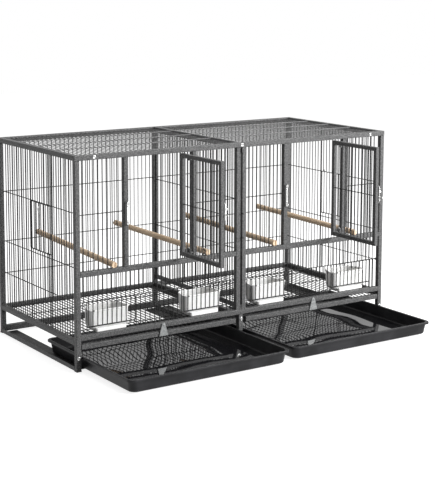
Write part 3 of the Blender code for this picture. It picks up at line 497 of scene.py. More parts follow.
def bright_zinc():
    """Zinc plate with faint cloudiness and fine rubbing marks."""
    look = Finish("bright_zinc")
    cloud = look.noise(140.0, detail=3.0)
    rub = look.noise(900.0, detail=2.0, vector=look.stretched((1.0, 1.0, 0.12)))
    tone = tuple(colours().zinc)
    look.set(base_color=look.ramp(cloud, [(0.35, mixed(tone, (0.45, 0.46, 0.48), 0.35)), (0.65, tone)]),
             metallic=1.0, roughness=look.ranged(rub, 0.18, 0.34))
    look.bump(rub, 0.08, 0.0003)
    return look.material


def tray_plastic():
    """Glossy black plastic, its normals tilted a little as if it sagged to the front, and wavy from the
    mould.
    """
    look = Finish("tray_plastic")
    wave = look.noise(5.0, detail=1.0, roughness=0.3)
    scuff = look.noise(260.0, detail=4.0, roughness=0.7)
    tone = tuple(colours().tray_black)
    look.set(base_color=look.ramp(scuff, [(0.45, tone), (0.80, mixed(tone, (0.06, 0.06, 0.065), 0.3))]),
             roughness=look.ranged(scuff, 0.03, 0.08, 0.4, 0.8), specular_ior_level=0.85)
    along = look.add("ShaderNodeSeparateXYZ", inputs={"Vector": look.place}).outputs["Y"]
    look.bump(look.joined("ADD", look.joined("MULTIPLY", along, 0.082), look.joined("MULTIPLY", wave, 0.008)),
              1.0, 1.0)
    return look.material


def tray_wall_plastic():
    """The trays' black walls, duller than their floor and finely grained."""
    look = Finish("tray_wall_plastic")
    grain = look.noise(700.0, detail=3.0)
    cloud = look.noise(20.0, detail=2.0)
    tone = tuple(colours().tray_black)
    look.set(base_color=look.ramp(cloud, [(0.35, tone), (0.70, mixed(tone, (0.05, 0.05, 0.055), 0.3))]),
             roughness=look.ranged(grain, 0.32, 0.46), specular_ior_level=0.2)
    look.bump(grain, 0.10, 0.0003)
    return look.material


def cup_plastic():
    """White moulded plastic, slightly cloudy, with a fine orange-peel surface."""
    look = Finish("cup_plastic")
    cloud = look.noise(45.0, detail=2.0)
    peel = look.noise(600.0, detail=2.0)
    tone = tuple(colours().cup_white)
    look.set(base_color=look.ramp(cloud, [(0.35, mixed(tone, (0.78, 0.78, 0.74), 0.4)), (0.65, tone)]),
             roughness=look.ranged(peel, 0.26, 0.40))
    look.bump(peel, 0.06, 0.0003)
    return look.material


def perch_wood():
    """Bare turned dowel: long grain along the perch, darker streaks and open pores."""
    look = Finish("perch_wood")
    along = look.stretched((1.0, 0.055, 1.0))
    grain = look.noise(330.0, detail=5.0, roughness=0.6, distortion=0.4, vector=along)
    streak = look.noise(95.0, detail=2.0, vector=along)
    pores = look.noise(1500.0, detail=2.0, vector=look.stretched((1.0, 0.10, 1.0)))
    pale = tuple(colours().wood_pale)
    brown = tuple(colours().wood_brown)
    figure = look.joined("ADD", look.joined("MULTIPLY", grain, 0.6), look.joined("MULTIPLY", streak, 0.4))
    look.set(base_color=look.ramp(figure, [(0.32, brown), (0.45, mixed(brown, pale, 0.7)), (0.60, pale)]),
             roughness=look.ranged(figure, 0.72, 0.55))
    look.bump(look.joined("ADD", grain, look.joined("MULTIPLY", pores, 0.5)), 0.25, 0.0004)
    return look.material


def catch_enamel():
    """Smooth grey enamel, worn a little lighter in patches."""
    look = Finish("catch_enamel")
    wear = look.noise(220.0, detail=4.0, roughness=0.6)
    tone = tuple(colours().catch_grey)
    dull = mixed(tone, (0.0, 0.0, 0.0), 0.2)
    worn = mixed(tone, (1.0, 1.0, 1.0), 0.12)
    look.set(base_color=look.ramp(wear, [(0.35, dull), (0.7, worn)]), metallic=0.2,
             roughness=look.ranged(wear, 0.30, 0.5))
    look.bump(wear, 0.10, 0.0003)
    return look.material


def plug_plastic():
    """Dull black plastic of the foot plugs and the divider's stop, also used as painted shade in the keepers'
    slots and the screw sockets.
    """
    look = Finish("plug_plastic")
    grain = look.noise(700.0, detail=3.0)
    look.set(base_color=look.ramp(grain, [(0.4, (0.012, 0.012, 0.013)), (0.7, (0.035, 0.035, 0.036))]),
             roughness=look.ranged(grain, 0.45, 0.65))
    look.bump(grain, 0.15, 0.0003)
    return look.material


FINISHES = {
    "coat": lambda: hammered_coat("hammered_coat", 1.0),
    # The wires' coat is the tubes' coat darkened as painted shade; the top wires' coat is lightened as
    # painted light.
    "wire": lambda: hammered_coat("wire_coat", 0.18),
    "painted_light_top_wire": lambda: hammered_coat("top_wire_coat", 1.8),
    "zinc": bright_zinc,
    "tray": tray_plastic,
    "tray_wall": tray_wall_plastic,
    "cup": cup_plastic,
    "wood": perch_wood,
    "catch": catch_enamel,
    "plug": plug_plastic,
}
made_finishes = {}


def finish(name):
    """Returns a finish's material, made on its first use."""
    if name not in made_finishes:
        made_finishes[name] = FINISHES[name]()
    return made_finishes[name]


def piece(name, mesh, look, body="cage_frame", stands_for=(), sharp=32):
    """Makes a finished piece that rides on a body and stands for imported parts.

    Wires keep plain smooth normals. Every other piece has normals weighted towards its flat faces.
    """
    bmesh.ops.recalc_face_normals(mesh, faces=mesh.faces)
    data = bpy.data.meshes.new(name)
    mesh.to_mesh(data)
    mesh.free()
    item = bpy.data.objects.new(name, data)
    bpy.context.scene.collection.objects.link(item)
    data.materials.append(finish(look))
    data.shade_smooth()
    data.set_sharp_from_angle(angle=math.radians(sharp))
    if look not in ("wire", "painted_light_top_wire"):
        item.modifiers.new("Weighted normals", "WEIGHTED_NORMAL").keep_sharp = True
    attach(item, body)
    if stands_for:
        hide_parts(*stands_for)
    return item


def is_floor(face, height):
    """Says whether a face looks up from below a height."""
    return face.normal.z > 0.9 and face.center.z < height


def second_finish(item, look, chosen):
    """Gives a piece's chosen faces a second finish."""
    item.data.materials.append(finish(look))
    for face in item.data.polygons:
        face.material_index = int(chosen(face))


def by_feeder(kind):
    """Returns the four names of a kind of part that each feeder opening has."""
    return ["%s_%s_%s" % (kind, side, place) for side in SIDES for place in PLACES]


class PieceOperator(bpy.types.Operator):
    """Base of the operators that make pieces."""

    bl_options = {"REGISTER", "UNDO"}

    def execute(self, context):
        """Makes the pieces."""
        self.make()
        return {"FINISHED"}


class BIRDCAGE_OT_posts(PieceOperator):
    """Square posts and legs, with plastic plugs in the feet"""

    bl_idname = "birdcage.posts"
    bl_label = "Posts and legs"

    plug_height = 0.004
    plug_proud = 0.0004

    def make(self):
        """Makes a tube for each post and a plug for each foot."""
        nodes = ["corner_post_front_left", "corner_post_front_right", "corner_post_back_left",
                 "corner_post_back_right", "front_centre_post_left", "front_centre_post_right",
                 "back_centre_post", "front_centre_leg", "back_centre_leg"]
        for node in nodes:
            start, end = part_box(node)
            stands = start.z < self.plug_height
            mesh = bmesh.new()
            bar(mesh, start + Vector((0, 0, self.plug_height if stands else 0)), end)
            piece(node + "_tube", mesh, "coat", stands_for=[node])
            if stands:
                plug = bmesh.new()
                reach = Vector((self.plug_proud, self.plug_proud, 0))
                block(plug, start - reach, Vector((end.x, end.y, self.plug_height)) + reach, edge=0.0008)
                piece(node + "_plug", plug, "plug")


class BIRDCAGE_OT_rails(PieceOperator):
    """Floor rails with the grates' ledges, and the rails that the trays run on"""

    bl_idname = "birdcage.rails"
    bl_label = "Floor and tray rails"

    ledge_thickness = 0.0015
    leaf = 0.002

    def make(self):
        """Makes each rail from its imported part's box."""
        for node in ("front_floor_rail", "back_floor_rail", "back_bottom_rail"):
            mesh = bmesh.new()
            bar(mesh, *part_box(node))
            piece(node + "_tube", mesh, "coat", stands_for=[node])
        self.ledged_rail("left_floor_rail", LEFT, LEFT + TUBE)
        self.ledged_rail("right_floor_rail", RIGHT - TUBE, RIGHT)
        self.ledged_rail("centre_floor_rail", CENTRE - TUBE / 2, CENTRE + TUBE / 2)
        self.angle_rail("left_tray_rail", LEFT, LEFT + self.leaf)
        self.angle_rail("right_tray_rail", RIGHT - self.leaf, RIGHT)
        self.angle_rail("centre_tray_rail", CENTRE - self.leaf / 2, CENTRE + self.leaf / 2)

    def ledged_rail(self, node, inner, outer):
        """Makes a rail tube and the ledge under the grate."""
        start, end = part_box(node)
        tube = bmesh.new()
        bar(tube, (inner, start.y, start.z), (outer, end.y, end.z))
        piece(node + "_tube", tube, "coat", stands_for=[node])
        ledge = bmesh.new()
        block(ledge, (start.x + CLEARANCE, start.y, start.z),
              (end.x - CLEARANCE, end.y, start.z + self.ledge_thickness))
        piece(node + "_ledge", ledge, "coat")

    def angle_rail(self, node, inner, outer):
        """Makes a folded rail with an upright leaf. Its shelf's upward faces take the darker wire coat as
        painted shade.
        """
        start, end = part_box(node)
        shelf = start.z + self.ledge_thickness
        outline = [(start.x, start.z), (end.x, start.z), (end.x, shelf)]
        if outer < end.x:
            outline += [(outer, shelf), (outer, end.z)]
        else:
            outline += [(end.x, end.z)]
        if inner > start.x:
            outline += [(inner, end.z), (inner, shelf), (start.x, shelf)]
        else:
            outline += [(start.x, end.z)]
        mesh = bmesh.new()
        plate(mesh, "front", outline, (start.y, end.y))
        item = piece(node + "_angle", mesh, "coat", stands_for=[node])
        # The shelf's upward faces take the darker wire coat as painted shade.
        second_finish(item, "wire", lambda face: is_floor(face, shelf + self.leaf))


class BIRDCAGE_OT_top(PieceOperator):
    """Top frame, its centre rail and its wires"""

    bl_idname = "birdcage.top"
    bl_label = "Top"

    cross_wire = 0.003

    def make(self):
        """Makes the top's tubes and both fields of wires."""
        half = TUBE / 2
        inner = (FRONT + TUBE - CLEARANCE, BACK - TUBE + CLEARANCE)
        mesh = bmesh.new()
        for start, end in ((FRONT, FRONT + TUBE), (BACK - TUBE, BACK)):
            bar(mesh, (LEFT, start, TOP_UNDERSIDE), (RIGHT, end, TOP))
        for start, end in ((LEFT, LEFT + TUBE), (RIGHT - TUBE, RIGHT), (CENTRE - half, CENTRE + half)):
            bar(mesh, (start, inner[0], TOP_UNDERSIDE), (end, inner[1], TOP))
        piece("top_frame", mesh, "coat", stands_for=["top_panel"])
        upper = TOP - TOP_WIRE_DROP - WIRE / 2
        lower = upper - (self.cross_wire + WIRE) / 2 + sizes().weld_bite
        for side, x in (("left", (LEFT + TUBE, CENTRE - half)), ("right", (CENTRE + half, RIGHT - TUBE))):
            wires = bmesh.new()
            for centre in spaced(*x):
                rod(wires, (centre, inner[0], lower), (centre, inner[1], lower), diameter=WIRE)
            for y in (FRONT + along for along in TOP_CROSS_Y):
                rod(wires, (x[0], y, upper), (x[1], y, upper), diameter=self.cross_wire)
            # The top wires take the coat lightened as painted light.
            piece("top_wires_" + side, wires, "painted_light_top_wire")


class BIRDCAGE_OT_back_panels(PieceOperator):
    """Back wire panels"""

    bl_idname = "birdcage.back_panels"
    bl_label = "Back panels"

    def make(self):
        """Makes each section's back."""
        upright, cross = depths(BACK, -1)
        for side in SIDES:
            node = "back_panel_" + side
            start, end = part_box(node)
            z = (start.z - CLEARANCE, end.z + CLEARANCE)
            wires = bmesh.new()
            uprights(wires, "front", spaced(start.x, end.x), z, upright)
            crosses(wires, "front", CROSS_LEVELS, (start.x - CLEARANCE, end.x + CLEARANCE), cross)
            piece("back_wires_" + side, wires, "wire", stands_for=[node])


class BIRDCAGE_OT_end_panels(PieceOperator):
    """End wire panels with a nest-box opening"""

    bl_idname = "birdcage.end_panels"
    bl_label = "End panels"

    def make(self):
        """Makes the wires round each nest-box opening."""
        for side, face, inward in (("left", LEFT, 1), ("right", RIGHT, -1)):
            node = "side_panel_" + side
            start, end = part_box(node)
            upright, cross = depths(face, inward)
            door_low, door_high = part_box("nest_door_" + side)
            nest_y = (door_low.y + NEST_LAP, door_high.y - NEST_LAP)
            nest_z = (door_low.z + NEST_LAP, door_high.z - NEST_LAP)
            z = (start.z - CLEARANCE, end.z + CLEARANCE)
            wires = bmesh.new()
            for centre in spaced(start.y, end.y):
                if nest_y[0] < centre < nest_y[1]:
                    uprights(wires, "side", [centre], (z[0], nest_z[0] - WIRE / 2), upright)
                    uprights(wires, "side", [centre], (nest_z[1] + WIRE / 2, z[1]), upright, welded=False)
                elif not nest_y[0] - 2 * WIRE < centre < nest_y[1] + 2 * WIRE:
                    uprights(wires, "side", [centre], z, upright)
            stays = (nest_y[0] - WIRE / 2, nest_y[1] + WIRE / 2)
            uprights(wires, "side", stays, z, upright)
            crosses(wires, "side", (nest_z[0] - WIRE / 2, nest_z[1] + WIRE / 2), stays, upright)
            crosses(wires, "side", CROSS_LEVELS, (FRONT + TUBE, BACK - TUBE), cross)
            piece("end_wires_" + side, wires, "wire", stands_for=[node])


def section(side):
    """Returns one section's inner width along the front."""
    if side == "left":
        return LEFT + TUBE, low("front_centre_post_left", X)
    return high("front_centre_post_right", X), RIGHT - TUBE


def strip_width(side, strip):
    """Returns the post's left face and the wires' width in a strip beside a door."""
    if strip == "latch":
        node = "latch_grille_" + side
        post_x = high(node, X) - TUBE
        return post_x, (low(node, X), post_x)
    post_x = high("latch_grille_" + side, X) + DOOR_OPENING
    return post_x, (post_x + TUBE, high("hinge_grille_" + side, X))


def pin_place(side):
    """Returns the axis of one door's hinge pins."""
    joint = next(item for item in frame["joints"] if item["name"] == "door_%s_hinge" % side)
    return Vector(joint["pos_m"])


class BIRDCAGE_OT_front_strips(PieceOperator):
    """Door posts with the wire strips welded to them"""

    bl_idname = "birdcage.front_strips"
    bl_label = "Front strips"

    def make(self):
        """Makes the latch side and the hinge side of each door opening."""
        upright, cross = depths(FRONT, 1)
        for side in SIDES:
            for strip in ("latch", "hinge"):
                node = "%s_grille_%s" % (strip, side)
                z = (low(node, Z), high(node, Z))
                post_x, x = strip_width(side, strip)
                tube = bmesh.new()
                bar(tube, (post_x, FRONT, z[0]), (post_x + TUBE, FRONT + TUBE, z[1]))
                piece("%s_post_%s" % (strip, side), tube, "coat", stands_for=[node])
                wires = bmesh.new()
                uprights(wires, "front", spaced(*x), (z[0] - CLEARANCE, z[1] + CLEARANCE), upright)
                crosses(wires, "front", (FRONT_CROSS_Z,), (x[0] - CLEARANCE, x[1] + CLEARANCE), cross)
                piece("%s_strip_wires_%s" % (strip, side), wires, "wire")


class BIRDCAGE_OT_hinge_brackets(PieceOperator):
    """Hinge brackets on the hinge posts, with their pins"""

    bl_idname = "birdcage.hinge_brackets"
    bl_label = "Hinge brackets"

    corner_share = 0.7
    plate_edge = 0.0004
    foot_radius = 0.0032
    foot_height = 0.0006
    head_radius = 0.0026
    head_flat = 0.0014
    head_height = 0.0018

    def make(self):
        """Makes two brackets and two pins for each door."""
        for side in SIDES:
            pin = pin_place(side)
            post_x = strip_width(side, "hinge")[0]
            plates = bmesh.new()
            pins = bmesh.new()
            for level in HINGE_LEVELS:
                plate(plates, "flat", self.outline(pin, post_x), (level, level + BRACKET_THICKNESS),
                      edge=self.plate_edge)
                turned(pins, self.pin_profile(), Matrix.Translation((pin.x, pin.y, level)))
            piece("hinge_brackets_" + side, plates, "coat")
            piece("hinge_pins_" + side, pins, "zinc")

    def outline(self, pin, post_x):
        """Returns a bracket's outline, from round the pin to the hinge post."""
        reach = KNUCKLE_RADIUS
        slant = reach * self.corner_share
        right = post_x + TUBE - reach
        back = FRONT + CLEARANCE
        return [(pin.x - reach, pin.y), (pin.x - slant, pin.y - slant), (pin.x, pin.y - reach),
                (right, FRONT - reach), (right, back), (post_x, back), (pin.x - slant, pin.y + slant)]

    def pin_profile(self):
        """Returns a pin's profile, with a flat foot under the bracket and a head over the knuckle."""
        top = BRACKET_THICKNESS + KNUCKLE_HEIGHT + 2 * CLEARANCE
        return [(0.0, -self.foot_height), (self.foot_radius, -self.foot_height), (self.foot_radius, 0.0),
                (PIN_RADIUS, self.foot_height / 3), (PIN_RADIUS, top), (self.head_radius, top),
                (self.head_radius, top + 0.0008), (self.head_flat, top + 0.0016),
                (0.0, top + self.head_height)]


class BIRDCAGE_OT_mid_rails(PieceOperator):
    """Mid rails with the short wires that hang from them"""

    bl_idname = "birdcage.mid_rails"
    bl_label = "Mid rails"

    def make(self):
        """Makes each section's rail, its hanging wires and the low wire."""
        upright, _ = depths(FRONT, 1)
        for side in SIDES:
            node = "mid_rail_" + side
            start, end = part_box(node)
            tube = bmesh.new()
            bar(tube, (start.x, FRONT, end.z - TUBE), (end.x, FRONT + TUBE, end.z))
            piece(node + "_tube", tube, "coat", stands_for=[node])
            wires = bmesh.new()
            level = start.z + WIRE / 2
            uprights(wires, "front", spaced(start.x, end.x), (level, end.z - TUBE + CLEARANCE), upright)
            crosses(wires, "front", (level,), (start.x - CLEARANCE, end.x + CLEARANCE), upright)
            piece("hanging_wires_" + side, wires, "wire")


def feeder_centres(side):
    """Returns the middles of a section's two feeder openings."""
    width = section(side)
    middle = (width[0] + width[1]) / 2
    return {"outer": middle - FEEDER_OFFSET, "inner": middle + FEEDER_OFFSET}


class BIRDCAGE_OT_feeder_grilles(PieceOperator):
    """Short wire panels between and beside the feeder openings"""

    bl_idname = "birdcage.feeder_grilles"
    bl_label = "Feeder grilles"

    def make(self):
        """Makes the panel between the openings and the narrow strips in the corners."""
        upright, _ = depths(FRONT, 1)
        floor = high("front_floor_rail", Z)
        for side in SIDES:
            node = "feeder_grille_" + side
            start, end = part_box(node)
            upper = low("mid_rail_" + side, Z) + WIRE / 2
            z = (floor - CLEARANCE, upper)
            wires = bmesh.new()
            edges = [start.x + WIRE / 2, end.x - WIRE / 2]
            uprights(wires, "front", edges + spaced(start.x, end.x), z, upright)
            piece("feeder_grille_wires_" + side, wires, "wire", stands_for=[node])
            inner = section(side)
            centres = feeder_centres(side)
            half = FEEDER_WIDTH / 2 + WIRE
            gaps = {"outer": (inner[0], centres["outer"] - half),
                    "inner": (centres["inner"] + half, inner[1])}
            for place, (left, right) in gaps.items():
                strip = bmesh.new()
                beside = right if place == "outer" else left
                uprights(strip, "front", [beside, (left + right) / 2], z, upright)
                piece("corner_strip_%s_%s" % (side, place), strip, "wire")


class BIRDCAGE_OT_feeder_doors(PieceOperator):
    """Wire doors that lift in front of the cups"""

    bl_idname = "birdcage.feeder_doors"
    bl_label = "Feeder doors"

    sill = 0.0032
    pull_inset = 0.012
    sill_edge = 0.0006
    pull_drop = 0.024
    pull_bend = 0.0012
    ring_bend = 0.0025

    def make(self):
        """Makes the four feeder doors, each with a sill strip and a bent pull."""
        for node in by_feeder("feeder_door"):
            start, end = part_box(node)
            depth = end.y - WIRE / 2 - 2 * CLEARANCE / 3
            mesh = bmesh.new()
            wire_ring(mesh, "front", (start.x, end.x), (start.z + CLEARANCE, end.z), depth, self.ring_bend)
            inner = (start.z + self.sill / 2, end.z - WIRE / 2)
            uprights(mesh, "front", spaced(start.x, end.x), inner, depth, welded=False)
            block(mesh, (start.x + WIRE / 2, depth - WIRE * 0.6, start.z),
                  (end.x - WIRE / 2, depth + WIRE * 0.5, start.z + self.sill), edge=self.sill_edge)
            x = start.x + self.pull_inset
            front = start.y + WIRE / 2
            foot = end.z - self.pull_drop
            pull = [(x, depth, end.z - WIRE), (x, front, end.z - 2 * WIRE), (x, front, foot),
                    (x + 2 * WIRE, front, foot)]
            bent_wire(mesh, pull, self.pull_bend)
            piece(node + "_wires", mesh, "wire", body=node, stands_for=[node])


class BIRDCAGE_OT_cups(PieceOperator):
    """White plastic cups with a rolled rim and a front lip"""

    bl_idname = "birdcage.cups"
    bl_label = "Cups"

    front_y = 0.016
    taper = 0.28
    wall = 0.0022
    lower_radius = 0.016
    lip_inset = 0.018
    lip_radius = 0.005
    lip_height = 0.0087

    def make(self):
        """Makes the four cups."""
        for node in by_feeder("cup"):
            self.cup(node, *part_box(node))

    def cup(self, node, start, end):
        """Makes one cup: rounded lower corners, a narrower back, a rolled rim and the front lip."""
        wall = self.wall
        rim = end.z
        y = (FRONT + self.front_y, end.y)
        outside = self.lower_levels(self.lower_radius, wall, start.z)
        inside = self.lower_levels(self.lower_radius - wall, 2 * wall, start.z + wall)
        edge = [(-0.5, -0.0040), (-0.2, -0.0032), (0.0, -0.0024), (0.0, -0.0008), (-0.3, 0.0), (-1.1, 0.0),
                (-1.5, -0.0008), (-1.7, -0.0040)]
        levels = outside + [(share * wall, share * wall, rim + drop) for share, drop in edge] + inside[::-1]
        mesh = bmesh.new()
        vessel(mesh, (start.x, end.x), y, sizes().cup_corner, levels, steps=8)
        middle = (start.x + end.x) / 2
        for corner in mesh.verts:
            narrowed = 1 - self.taper * (corner.co.y - y[0]) / (y[1] - y[0])
            corner.co.x = middle + (corner.co.x - middle) * narrowed
        half = (end.x - start.x) / 2 - self.lip_inset
        radius = self.lip_radius
        outline = [(middle + half, y[0] + wall), (middle - half, y[0] + wall)]
        arc = [(middle - half + radius * (1 - math.cos(turn)), start.y + radius * (1 - math.sin(turn)))
               for turn in (math.pi / 2 * step / 6 for step in range(7))]
        outline += arc + [(2 * middle - across, along) for across, along in reversed(arc)]
        plate(mesh, "flat", outline, (start.z, start.z + self.lip_height), edge=0.0012, steps=3)
        piece(node + "_shell", mesh, "cup", body=node, stands_for=[node], sharp=50)

    def lower_levels(self, radius, inset, low_level, steps=7):
        """Returns a cup's lower levels, with the lower corners of its front and back rounded off."""
        levels = [(-inset - radius, -inset - self.wall, low_level)]
        for step in range(1, steps + 1):
            turn = math.pi / 2 * step / steps
            back = self.wall * (1 - step / steps) ** 3
            levels.append((-inset - radius * (1 - math.sin(turn)), -inset - back,
                           low_level + radius * (1 - math.cos(turn))))
        return levels


class BIRDCAGE_OT_doors(PieceOperator):
    """Hinged doors: tube frame, wires and knuckles"""

    bl_idname = "birdcage.doors"
    bl_label = "Doors"

    wire_depth = 0.004
    tube_corner = 0.0011
    bore = 0.00225
    chamfer = 0.0004
    web_inset = 0.001
    web_edge = 0.0003

    def make(self):
        """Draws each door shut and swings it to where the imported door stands."""
        for side in SIDES:
            node = "door_" + side
            start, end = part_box(node)
            pin = pin_place(side)
            x = (pin.x + start.y - pin.y, pin.x + end.y - pin.y)
            front = pin.y + (pin.x - start.x - DOOR_TUBE)
            self.door(node, pin, x, (front, front + DOOR_TUBE), (start.z, end.z))

    def door(self, node, pin, x, y, z):
        """Makes one door's frame, wires and knuckles."""
        inner_x = (x[0] + DOOR_TUBE, x[1] - DOOR_TUBE)
        inner_z = (z[0] + DOOR_TUBE, z[1] - DOOR_TUBE)
        tubes = bmesh.new()
        for left, right in ((x[0], inner_x[0]), (inner_x[1], x[1])):
            bar(tubes, (left, y[0], z[0]), (right, y[1], z[1]), self.tube_corner)
        for lower, upper in ((z[0], inner_z[0]), (inner_z[1], z[1])):
            bar(tubes, (inner_x[0] - CLEARANCE, y[0], lower), (inner_x[1] + CLEARANCE, y[1], upper),
                self.tube_corner)
        swing_open(tubes, pin)
        piece(node + "_tubes", tubes, "coat", body=node, stands_for=[node])
        wires = bmesh.new()
        depth = y[0] + self.wire_depth
        uprights(wires, "front", spaced(*inner_x), (inner_z[0] - CLEARANCE, inner_z[1] + CLEARANCE), depth)
        crosses(wires, "front", (DOOR_CROSS_Z,), inner_x, depth + sizes().wire_diameter - sizes().weld_bite)
        swing_open(wires, pin)
        piece(node + "_wires", wires, "wire", body=node)
        knuckles = bmesh.new()
        for level in HINGE_LEVELS:
            self.knuckle(knuckles, pin, level + BRACKET_THICKNESS + CLEARANCE, inner_x[1], y[0])
        swing_open(knuckles, pin)
        piece(node + "_knuckles", knuckles, "coat", body=node)

    def knuckle(self, mesh, pin, lower, stile, front):
        """Adds a bored knuckle and the web that joins it to the door's hinge stile."""
        radius = KNUCKLE_RADIUS
        shoulder = radius - self.chamfer
        height = KNUCKLE_HEIGHT
        profile = [(self.bore, 0.0), (shoulder, 0.0), (radius, self.chamfer), (radius, height - self.chamfer),
                   (shoulder, height), (self.bore, height), (self.bore, 0.0)]
        turned(mesh, profile, Matrix.Translation((pin.x, pin.y, lower)))
        outline = [(pin.x + radius * 0.7, pin.y - 0.0008), (stile + radius, front - 0.002),
                   (stile + radius, front + CLEARANCE), (pin.x + radius * 0.3, front + CLEARANCE),
                   (pin.x + radius * 0.55, pin.y + 0.0022)]
        plate(mesh, "flat", outline, (lower + self.web_inset, lower + height - self.web_inset), self.web_edge)


def swing_open(mesh, pin):
    """Turns what was drawn on a shut door to the open pose."""
    bmesh.ops.rotate(mesh, verts=mesh.verts, cent=pin, matrix=Matrix.Rotation(math.pi / 2, 3, "Z"))


class BIRDCAGE_OT_latches(PieceOperator):
    """Drop latches on the doors and the keepers on the posts"""

    bl_idname = "birdcage.latches"
    bl_label = "Latches"

    plate_thickness = 0.0014
    width = 0.012
    round_end = 0.004
    staple_up = 0.0085
    staple_reach = 0.0053
    staple_inset = 0.0015
    wire = 0.0018
    wire_bend = 0.0012
    rivet_up = 0.0036
    bolt_out = 0.0028
    bolt_wire = 0.0030
    bolt_bend = 0.0022
    bolt_drop = 0.0025
    tongue_up = 0.0165
    thumb_up = 0.0265
    thumb_height = 0.0055
    thumb_half = 0.0035
    slot_share = 0.62
    hook_inset = 0.001
    hook_rise = 0.007
    keeper_rivet_up = 0.012

    def make(self):
        """Makes the latch and the keeper of each door."""
        for side in SIDES:
            self.latch("door_latch_" + side, pin_place(side))
            self.keeper("keeper_" + side)

    def latch(self, node, pin):
        """Makes a stamped plate with two staples, the bolt that drops through them and its thumb piece."""
        start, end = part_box(node)
        back = pin.y + pin.x - start.x
        x = (pin.x + end.y - pin.y - self.width, pin.x + end.y - pin.y)
        tip = pin.x + start.y - pin.y
        z = (start.z, end.z)
        middle = (x[0] + x[1]) / 2
        front = back - self.plate_thickness
        mesh = bmesh.new()
        plate(mesh, "front", cut_corners(x, z, self.round_end), (front, back))
        legs = (x[0] + self.staple_inset, x[1] - self.staple_inset)
        crown = front - self.staple_reach
        for level in (z[0] + self.staple_up, z[1] - self.staple_up):
            staple = [(legs[0], front, level), (legs[0], crown, level), (legs[1], crown, level),
                      (legs[1], front, level)]
            bent_wire(mesh, staple, self.wire_bend, self.wire)
        for level in (z[0] + self.rivet_up, z[1] - self.rivet_up):
            dome(mesh, (middle, front, level), 0.0016, 0.0008)
        depth = front - self.bolt_out
        tongue = z[0] + self.tongue_up
        bolt = [(middle, depth, z[1] - self.bolt_drop), (middle, depth, tongue), (tip, depth, tongue)]
        bent_wire(mesh, bolt, self.bolt_bend, self.bolt_wire)
        thumb = z[0] + self.thumb_up
        block(mesh, (middle - self.thumb_half, back - (end.x - start.x), thumb),
              (middle + self.thumb_half, depth, thumb + self.thumb_height), edge=0.0009)
        swing_open(mesh, pin)
        piece(node + "_bolt", mesh, "zinc", body=node, stands_for=[node])

    def keeper(self, node):
        """Makes the keeper: a black strip of painted shade where its slot is, beside a bright one that has a
        hook and a rivet at each end.
        """
        start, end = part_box(node)
        face = end.y - self.plate_thickness
        crown = start.y + self.hook_inset
        slot = start.x + (end.x - start.x) * self.slot_share
        # The black strip is painted shade standing in for the slot.
        strip = bmesh.new()
        block(strip, (start.x, face, start.z), (slot, end.y, end.z), edge=0.0004)
        piece(node + "_strip", strip, "plug")
        mesh = bmesh.new()
        block(mesh, (slot, face, start.z), (end.x, end.y, end.z), edge=0.0004)
        x = (slot + self.hook_inset, end.x - self.hook_inset)
        for level, turn in ((start.z, 1), (end.z, -1)):
            outer = level + turn * self.hook_inset
            inner = level + turn * self.hook_rise
            hook = [(x[0], face, outer), (x[0], crown, outer), (x[1], crown, inner), (x[1], face, inner)]
            bent_wire(mesh, hook, self.wire_bend, self.wire)
            dome(mesh, ((slot + end.x) / 2, face, level + turn * self.keeper_rivet_up), 0.0018, 0.0010)
        piece(node + "_hooks", mesh, "zinc", stands_for=[node])


class BIRDCAGE_OT_nest_doors(PieceOperator):
    """Nest-box doors that lift, their hooks and spring clips"""

    bl_idname = "birdcage.nest_doors"
    bl_label = "Nest doors"

    ring_wire = 0.0016
    hook_out = 0.00225
    hook_inset = 0.010
    hook_rise = 0.005
    hook_bend = 0.0011
    clip_steps = 8
    clip_thickness = 0.0009
    clip_inset = 0.003

    def make(self):
        """Makes both nest doors."""
        for side, inward in (("left", 1), ("right", -1)):
            node = "nest_door_" + side
            start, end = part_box(node)
            depth = (start.x + end.x) / 2
            mesh = bmesh.new()
            lap = NEST_LAP - WIRE / 2 - self.ring_wire / 2
            wire_ring(mesh, "side", (start.y + lap, end.y - lap), (start.z + lap, end.z - lap), depth,
                      diameter=self.ring_wire)
            inner = (start.z + lap + WIRE / 2, end.z - lap - WIRE / 2)
            uprights(mesh, "side", spaced(start.y, end.y), inner, depth, welded=False)
            piece(node + "_wires", mesh, "wire", body=node, stands_for=[node])
            hooks = bmesh.new()
            outer = depth - inward * self.hook_out
            for along in (start.y + self.hook_inset, end.y - self.hook_inset):
                for level in inner:
                    hook = [(depth, along, level), (outer, along, level + 0.0004),
                            (outer, along, level + self.hook_rise)]
                    bent_wire(hooks, hook, self.hook_bend)
            piece("nest_hooks_" + side, hooks, "wire", body=node)
            self.clip("nest_clip_" + side, node, inward)

    def clip(self, node, body, inward):
        """Makes a bowed spring clip."""
        start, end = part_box(node)
        near, far = (end.x, start.x) if inward > 0 else (start.x, end.x)
        shares = [step / self.clip_steps for step in range(self.clip_steps + 1)]
        bow = [(near + (far - near) * math.sin(math.pi * share), start.z + (end.z - start.z) * share)
               for share in shares]
        thick = self.clip_thickness * inward
        outline = bow + [(across + thick, up) for across, up in reversed(bow)]
        mesh = bmesh.new()
        plate(mesh, "front", outline, (start.y + self.clip_inset, end.y - self.clip_inset), edge=0.0002)
        piece(node + "_spring", mesh, "zinc", body=body, stands_for=[node], sharp=40)


